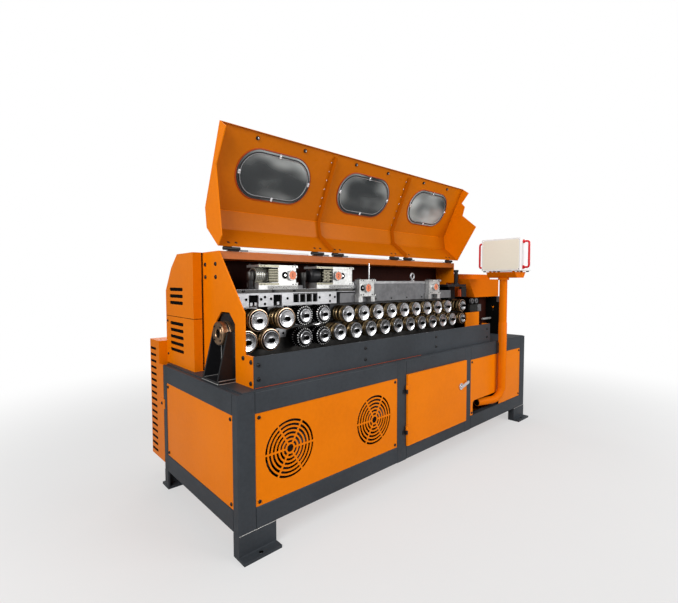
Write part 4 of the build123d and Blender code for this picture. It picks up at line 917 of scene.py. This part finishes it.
EYE, EYE_REACH, EYE_THICK = (1611.5, 300, 1272), 20, 6.3
EYE_SHANK = [(0, -37), (17, -37), (17, -31), (14, -29), (9, -29), (6.4, -24), (6.4, -18), (0, -18)]
LIFT_ROD = [(0, 0), (5, 0), (5, 105), (0, 105)]
PRESS_SCREWS = ((1170, 1330, 1500, 1680), 262, 1118)
press = Piece("press_details")
press.add(torus(EYE_REACH, EYE_THICK, at(*EYE), INWARD), milled, wrap=(True, True))
press.heads(OUT_TOP, (EYE_SHANK, EYE, milled, 24), (LIFT_ROD, (1081, 242, 1245), chrome))
press.heads(OUT_FRONT, (button_head(7), PRESS_SCREWS, dark_steel))
press.plates(FRONT, ((926, 16, 2.5), (1435.7, 262, 1226), milled, 1.5))
press.build("machined_steel")
print("press beam: an eye,", len(PRESS_SCREWS[0]), "screws and a rod")

# %% [markdown]
# At the exit a black screw lifts the last roller's slide, and under the cutter's hood stand a dark column, a
# maroon back panel, guide blocks and bright rods; the column and the back panel are painted shade. All are
# plates and lathe profiles in short tables.

# %% Exit screw and cutter parts
THREAD = np.arange(0, 104, 4.0)
thread_rows = np.stack([15.2 + 1.3 * (np.arange(len(THREAD)) % 2), THREAD + 11], -1)
LIFT_SCREW = [(0, -1), (24, -1), (24, 9), (22, 11), *thread_rows, (20.4, 116), (20.4, 122), (0, 122)]
CHROME_ROD = [(0, -1), (9, -1), (9, 1), (11.4, 3), (11.4, 156), (9, 159), (9, 161), (0, 161)]
ROD_COLLAR = [(11.4, 52), (20, 52), (20, 84), (11.4, 84)]
PALE_ROD = [(0, 0), (8, 0), (10, 2), (10, 148), (8, 150), (0, 150)]
GUIDE_WHEEL = [(0, -2), (24, -2), (24, 16), (20, 19), (10, 19), (8, 16)]
KNOB = [(0, -1), (8, -1), (8, 8), (6, 11), (0, 12)]
PLUG = [(0, -1), (7, -1), (7, 6), (0, 7)]
ROD_START, COLUMN_FACE = (2478, 380, 905), 2780
cutter = Piece("exit_trim")
cutter.heads(OUT_TOP, (LIFT_SCREW, (2238.6, 316, 1208), black, 24))
cutter.heads(OUT_TOP, (cap_screw(6), ((2030, 2110, 2180), 270, 1208), black))
cutter.heads(ALONG, (CHROME_ROD, ROD_START, chrome, 24), (ROD_COLLAR, ROD_START, dark_steel, 24))
cutter.heads(ALONG, (PALE_ROD, (2590, 262, 893), cast_alloy, 20))
cutter.heads(OUT_FRONT, (GUIDE_WHEEL, ((2400, 2470), 268, 1062), cast_grey, 20))
cutter.heads(OUT_LEFT, (KNOB, (COLUMN_FACE, 253, 994), orange, 20))
cutter.heads(OUT_LEFT, (PLUG, (COLUMN_FACE, 253, 966), dark_steel, 16))
cutter.plates(LEFT, ((30, 46, 8), (COLUMN_FACE, 205, 1066), cast_grey, 6, 2))
cutter.plates(
    FRONT,
    ((180, 62, 22), (2445, 268, 1000), dark_steel, 6, 2),
    ((58, 62, 26), (2506, 268, 1000), cast_grey, 4, 2),
    # Painted shade: a near-black block and a maroon panel stand in the dark under the cutter hood.
    ((78, 347, 148), (2819, 330, 919), shade_black, 4, 2),
    ((130, 336, 3), (2720, 330, 924), maroon, 2, 0.5),
    ((70, 86, 24), (2238.6, 262, 1146), black, 5, 2),
    ((14, 60, 3), (2192, 244, 1136), bead_red, 3, 1, 20),
)
cutter.build("black_steel")
print("exit: a screw with", len(THREAD), "thread steps, rods, blocks and plates")

# %% [markdown]
# The bar enters through a bronze-brown ring on a black gusseted stand. Weld beads join the gussets and the
# feet: a rod whose reach swells and shrinks looks like the ripples that a torch leaves. Sleeves of near-black
# painted shade line the bolt holes in the feet.

# %% Entry ring and welds
RING_Y, RING_FACE, RING_SCREW_REACH = 299, 60, 46
RING = (114, RING_Y, PASS_HEIGHT)
RING_ROWS = [(22, 4), (22, -52), (25, -55), (36, -55), (38, -53), (44, -53), (46, -54), (54, -54),
             (58.8, -49), (58.8, -26), (57, -24), (57, -18), (58.8, -16), (58.8, -1), (40, -1)]
RING_BORE = [(21.6, -40), (21.6, 14)]
angle = np.arange(4) * np.pi / 2 + 0.8
y, z = RING_Y + RING_SCREW_REACH * np.cos(angle), PASS_HEIGHT + RING_SCREW_REACH * np.sin(angle)
entry = Piece("entry_ring")
# The ring's bore is lined with near-black painted shade.
entry.heads(ALONG, (RING_ROWS, RING, ring_bronze, 56), (RING_BORE, RING, shade_black, 40))
entry.heads(OUT_LEFT, (cap_screw(4), (RING_FACE, y, z), black))
entry.build("machined_steel")

FOOT_HOLE_SHADE, FOOT_MIDDLE, FOOT_HOLES_Y = [(10.8, 0.5), (10.8, 11), (10, 11), (10, 0.5)], 97.5, (-23, 923)
GUSSET_WELD, LEG_WELD, FOOT_WELD = 2.2, 1.7, 3.0
stand_welds = [((18, 204, 745.6), (126, 204, 745.6)), ((16, 206, 745.6), (16, 392, 745.6))]
for y in (217, 229, 369, 381):
    stand_welds += [((20, y, 757.2), (112, y, 757.2)), ((113.5, y, 760), (113.5, y, 985))]
welds = Piece("weld_beads")
for start, end in stand_welds:
    welds.add(bead(at(*start), at(*end), GUSSET_WELD), weld_metal)
for x in (0, 2685):
    welds.add(bead(at(x + 2, 0, 110), at(x + 193, 0, 110), LEG_WELD), weld_metal)
    welds.add(bead(at(x + 6, 0, 14), at(x + 189, 0, 14), FOOT_WELD), slate)
    # Painted shade: the sleeves darken the walls of the bolt holes.
    sleeves = turned(FOOT_HOLE_SHADE, at(x + FOOT_MIDDLE, FOOT_HOLES_Y, 0), OUT_TOP, 24)
    welds.add(sleeves, shade_black, wrap=(True, True))
welds.build("bright_steel")
print("entry ring,", len(stand_welds), "welds on the stand and 4 on the feet")

# %% [markdown]
# The control head: an enamelled face plate in a white border with corner screws, black feet, and round bases
# for the red handles. Its pipe has a clamp at the table's edge whose side is painted shade, a sleeve, and a
# mouth of near-black painted shade at its end.

# %% Control head
FACE_PROUD, FACE_SCREW_INSET = 2.6, 14
FOOT = [(0, 1), (11, 1), (11, -6), (9, -8), (0, -8)]
FOOT_FRONT, FOOT_BACK, FOOT_SIDE = 12, 16, 20
HANDLE_BASE, HANDLE_END = [(0, -1), (15, -1), (15, 5), (13, 8), (8.2, 9), (0, 9)], 8
(left, front, low), (right, back, high) = where("control_box") - at(0, 0, 0)
control = Piece("control_face")
for inset, proud, chamfer, finish in ((22, FACE_PROUD, 1, beige), (3, 1.4, 0.6, white)):
    size = (back - front - inset, high - low - inset, proud)
    control.plates(LEFT, (size, (left, (front + back) / 2, (low + high) / 2), finish, 8, chamfer))
x, y = np.meshgrid((left + FOOT_FRONT, right - FOOT_BACK), (front + FOOT_SIDE, back - FOOT_SIDE))
control.heads(OUT_TOP, (FOOT, (x, y, low), black, 20))
y, z = corners_of((front, back), (low, high), FACE_SCREW_INSET)
control.heads(OUT_LEFT, (button_head(5), (left - FACE_PROUD, y, z), chrome))
control.build("beige_enamel")

handle_low, handle_high = where("control_handles") - at(0, 0, 0)
handle_x = (handle_low[0] + handle_high[0]) / 2
handle_ends = (handle_low[2] + HANDLE_END, handle_high[2] - HANDLE_END)
bases = Piece("handle_bases")
for y, out in ((front, OUT_FRONT), (back, INWARD)):
    bases.heads(out, (HANDLE_BASE, (handle_x, y, handle_ends), red, 24))
bases.build("red_plastic")

PIPE_X, PIPE_Y, PIPE_RUN, PIPE_RUN_Z = 2375.9, -35, 268, 272
PIPE_TURN = math.radians(17)
PIPE_MOUTH = [(26.5, 0.8), (0, 0.6)]
SLEEVE = [(30.1, 0), (32.6, 3), (32.6, 556), (30.1, 560)]
pipe_out = np.array((-math.cos(PIPE_TURN), math.sin(PIPE_TURN), 0))
clamp = Piece("post_clamp")
# Painted shade: the clamp's side plate is umber.
clamp.plates(LEFT, ((34, 92, 4), (2350.9, -17, 690), clamp_side_shade, 3, 1, 0.5))
clamp.heads(OUT_LEFT, (hex_head(6), (2346.9, -16, (664, 716)), black, 6))
# The pipe's open end is filled with near-black painted shade.
clamp.add(turned(PIPE_MOUTH, at(PIPE_X, PIPE_Y, PIPE_RUN_Z) + PIPE_RUN * pipe_out, pipe_out, 32), shade_black)
clamp.build("black_steel")
sleeve = Piece("post_sleeve")
sleeve.add(turned(SLEEVE, at(PIPE_X, PIPE_Y, 340), OUT_TOP, 40), pipe_shaded_orange, wrap=(True, True))
sleeve.build("orange_paint")
print("control head: face, handle bases, clamp and sleeve")

# %% [markdown]
# Last small parts: the bolted tab that ties the rear box to the base, a red line under the apron, and the
# seams and screws of the drive cover; the seams are near-black strips of painted shadow. Thin plates are
# enough, as each stands out by a millimetre or so.

# %% Tab, line and seams
small = Piece("orange_strips")
small.plates(LEFT, ((70, 58, 3), (0, 912, 507), orange, 4, 0.8))
small.heads(OUT_LEFT, (PANEL_SCREW, (-3, 918, 507), black))
small.plates(FRONT, ((1250, 2.4, 1.2), (730, APRON_FACE, 747), bead_red, 0.6, 0.3))
small.build("orange_paint")
seams = Piece("cover_seam_shadows")
# Painted shadow: near-black strips stand for the shadow lines at the cover's joints.
seams.plates(LEFT, ((404, 3, 0.5), (47, 754, 1031), shade_black, 0.5, 0.2))
seams.plates(FRONT, ((7, 640, 0.8), (98, 551, 1068), shade_black, 1, 0.3))
seams.plates(FRONT, ((54, 3, 0.6), (74, 551, 1031), shade_black, 0.5, 0.2))
seams.heads(OUT_LEFT, (button_head(8), (47, 930, (800, 1000)), black))
seams.build("black_steel")
print("small parts: a tab, a line and three seams")

# %% [markdown]
# The photograph was taken from the left front, a little above the pass line, with a wide lens. The camera was
# found by fitting the straight edges of the base, so its place and turn are plain numbers.

# %% Camera
IMAGE_WIDTH = 678
FOCAL_PIXELS = 406.9
EYE_POINT = Vector((-2.283, -2.028, 1.2295))
YAW, PITCH, ROLL = (math.radians(a) for a in (47.602, 2.738, -0.117))
lens = bpy.data.cameras.new("photo_camera")
lens.sensor_fit = "HORIZONTAL"
lens.sensor_width = 36.0
lens.lens = FOCAL_PIXELS * lens.sensor_width / IMAGE_WIDTH
lens.clip_start = 0.05
camera = bpy.data.objects.new("photo_camera", lens)
ahead = Vector((math.cos(PITCH) * math.cos(YAW), math.cos(PITCH) * math.sin(YAW), -math.sin(PITCH)))
turn = ahead.to_track_quat("-Z", "Y").to_matrix() @ Matrix.Rotation(ROLL, 3, "Z")
camera.matrix_world = Matrix.Translation(EYE_POINT) @ turn.to_4x4()
bpy.context.scene.collection.objects.link(camera)
bpy.context.scene.camera = camera
print("camera:", round(lens.lens, 2), "mm lens")

# %% [markdown]
# A pale floor and broad lamps give plain studio light. The world is white to the camera, dimmer to mirrors
# and dimmer still as a light, so the background stays white without washing out the paint. The floor fades
# to the same white far out.


# %% Floor, world and lamps
def area_lamp(name, place, target, size, watts):
    """A rectangular soft box that faces its target."""
    light = bpy.data.lights.new(name, "AREA")
    light.shape = "RECTANGLE"
    light.size, light.size_y = size
    light.energy = watts
    lamp = bpy.data.objects.new(name, light)
    lamp.location = place
    lamp.rotation_euler = (Vector(target) - Vector(place)).to_track_quat("-Z", "Y").to_euler()
    bpy.context.scene.collection.objects.link(lamp)


LAMPS = (
    ("key_softbox", (-5.0, -2.2, 3.4), (0, 0, 0.9), (3.0, 2.4), 225),
    ("front_softbox", (1.8, -4.4, 2.4), (0.3, 0, 0.6), (3.0, 2.2), 142),
    ("top_softbox", (0.2, 0.3, 5.2), (0, 0, 0.8), (4.5, 2.5), 80),
    ("back_softbox", (1.5, 4.5, 3.0), (0, 0, 1.0), (3.5, 2.0), 80),
)
for lamp_row in LAMPS:
    area_lamp(*lamp_row)

WORLD_LIGHT, MIRROR_LIGHT, CAMERA_LIGHT = 0.2, 0.4, 1.0
world = bpy.data.worlds.new("studio_white")
world.use_nodes = True
bpy.context.scene.world = world
wires = world.node_tree
sky = wires.nodes["Background"]
sky.inputs["Color"].default_value = (1, 1, 1, 1)
path = wires.nodes.new("ShaderNodeLightPath")


def strength(flag, plain, flagged):
    """A Map Range node: the plain strength, or the flagged one for rays that carry the flag."""
    choice = wires.nodes.new("ShaderNodeMapRange")
    wires.links.new(path.outputs[flag], choice.inputs["Value"])
    for socket, value in (("To Min", plain), ("To Max", flagged)):
        if isinstance(value, float):
            choice.inputs[socket].default_value = value
        else:
            wires.links.new(value, choice.inputs[socket])
    return choice.outputs[0]


mirrored = strength("Is Glossy Ray", WORLD_LIGHT, MIRROR_LIGHT)
wires.links.new(strength("Is Camera Ray", mirrored, CAMERA_LIGHT), sky.inputs["Strength"])

FLOOR_HALF = 30.0
FADE_START, FADE_END = 1.6, 4.5
floor_mesh = bpy.data.meshes.new("studio_floor")
corners = np.array([[-1, -1, 0], [1, -1, 0], [1, 1, 0], [-1, 1, 0]]) * FLOOR_HALF
floor_mesh.from_pydata(corners.tolist(), [], [(0, 1, 2, 3)])
floor = bpy.data.objects.new("studio_floor", floor_mesh)
bpy.context.scene.collection.objects.link(floor)
ground = Finish("studio_floor", roughness=0.8, specular_ior_level=0.1)
ground.set("Base Color", ground.mix(ground.noise(3.0), (0.56, 0.56, 0.56), (0.54, 0.54, 0.54)))
glow = ground.tree.nodes.new("ShaderNodeEmission")
blend = ground.tree.nodes.new("ShaderNodeMixShader")
far = ground.node("ShaderNodeVectorMath", {"operation": "LENGTH"}, {0: ground.here()}, output="Value")
camera_ray = ground.node("ShaderNodeLightPath", output="Is Camera Ray")
ground.plug(blend.inputs[0], (0.5 + 0.5 * far.smooth(FADE_START, FADE_END)) * camera_ray)
ground.tree.links.new(ground.shader.outputs[0], blend.inputs[1])
ground.tree.links.new(glow.outputs[0], blend.inputs[2])
ground.tree.links.new(blend.outputs[0], ground.out.inputs["Surface"])
floor_mesh.materials.append(ground.material)
print("lamps:", len(LAMPS))

# %% Plain colours
bpy.context.scene.view_settings.view_transform = "Standard"
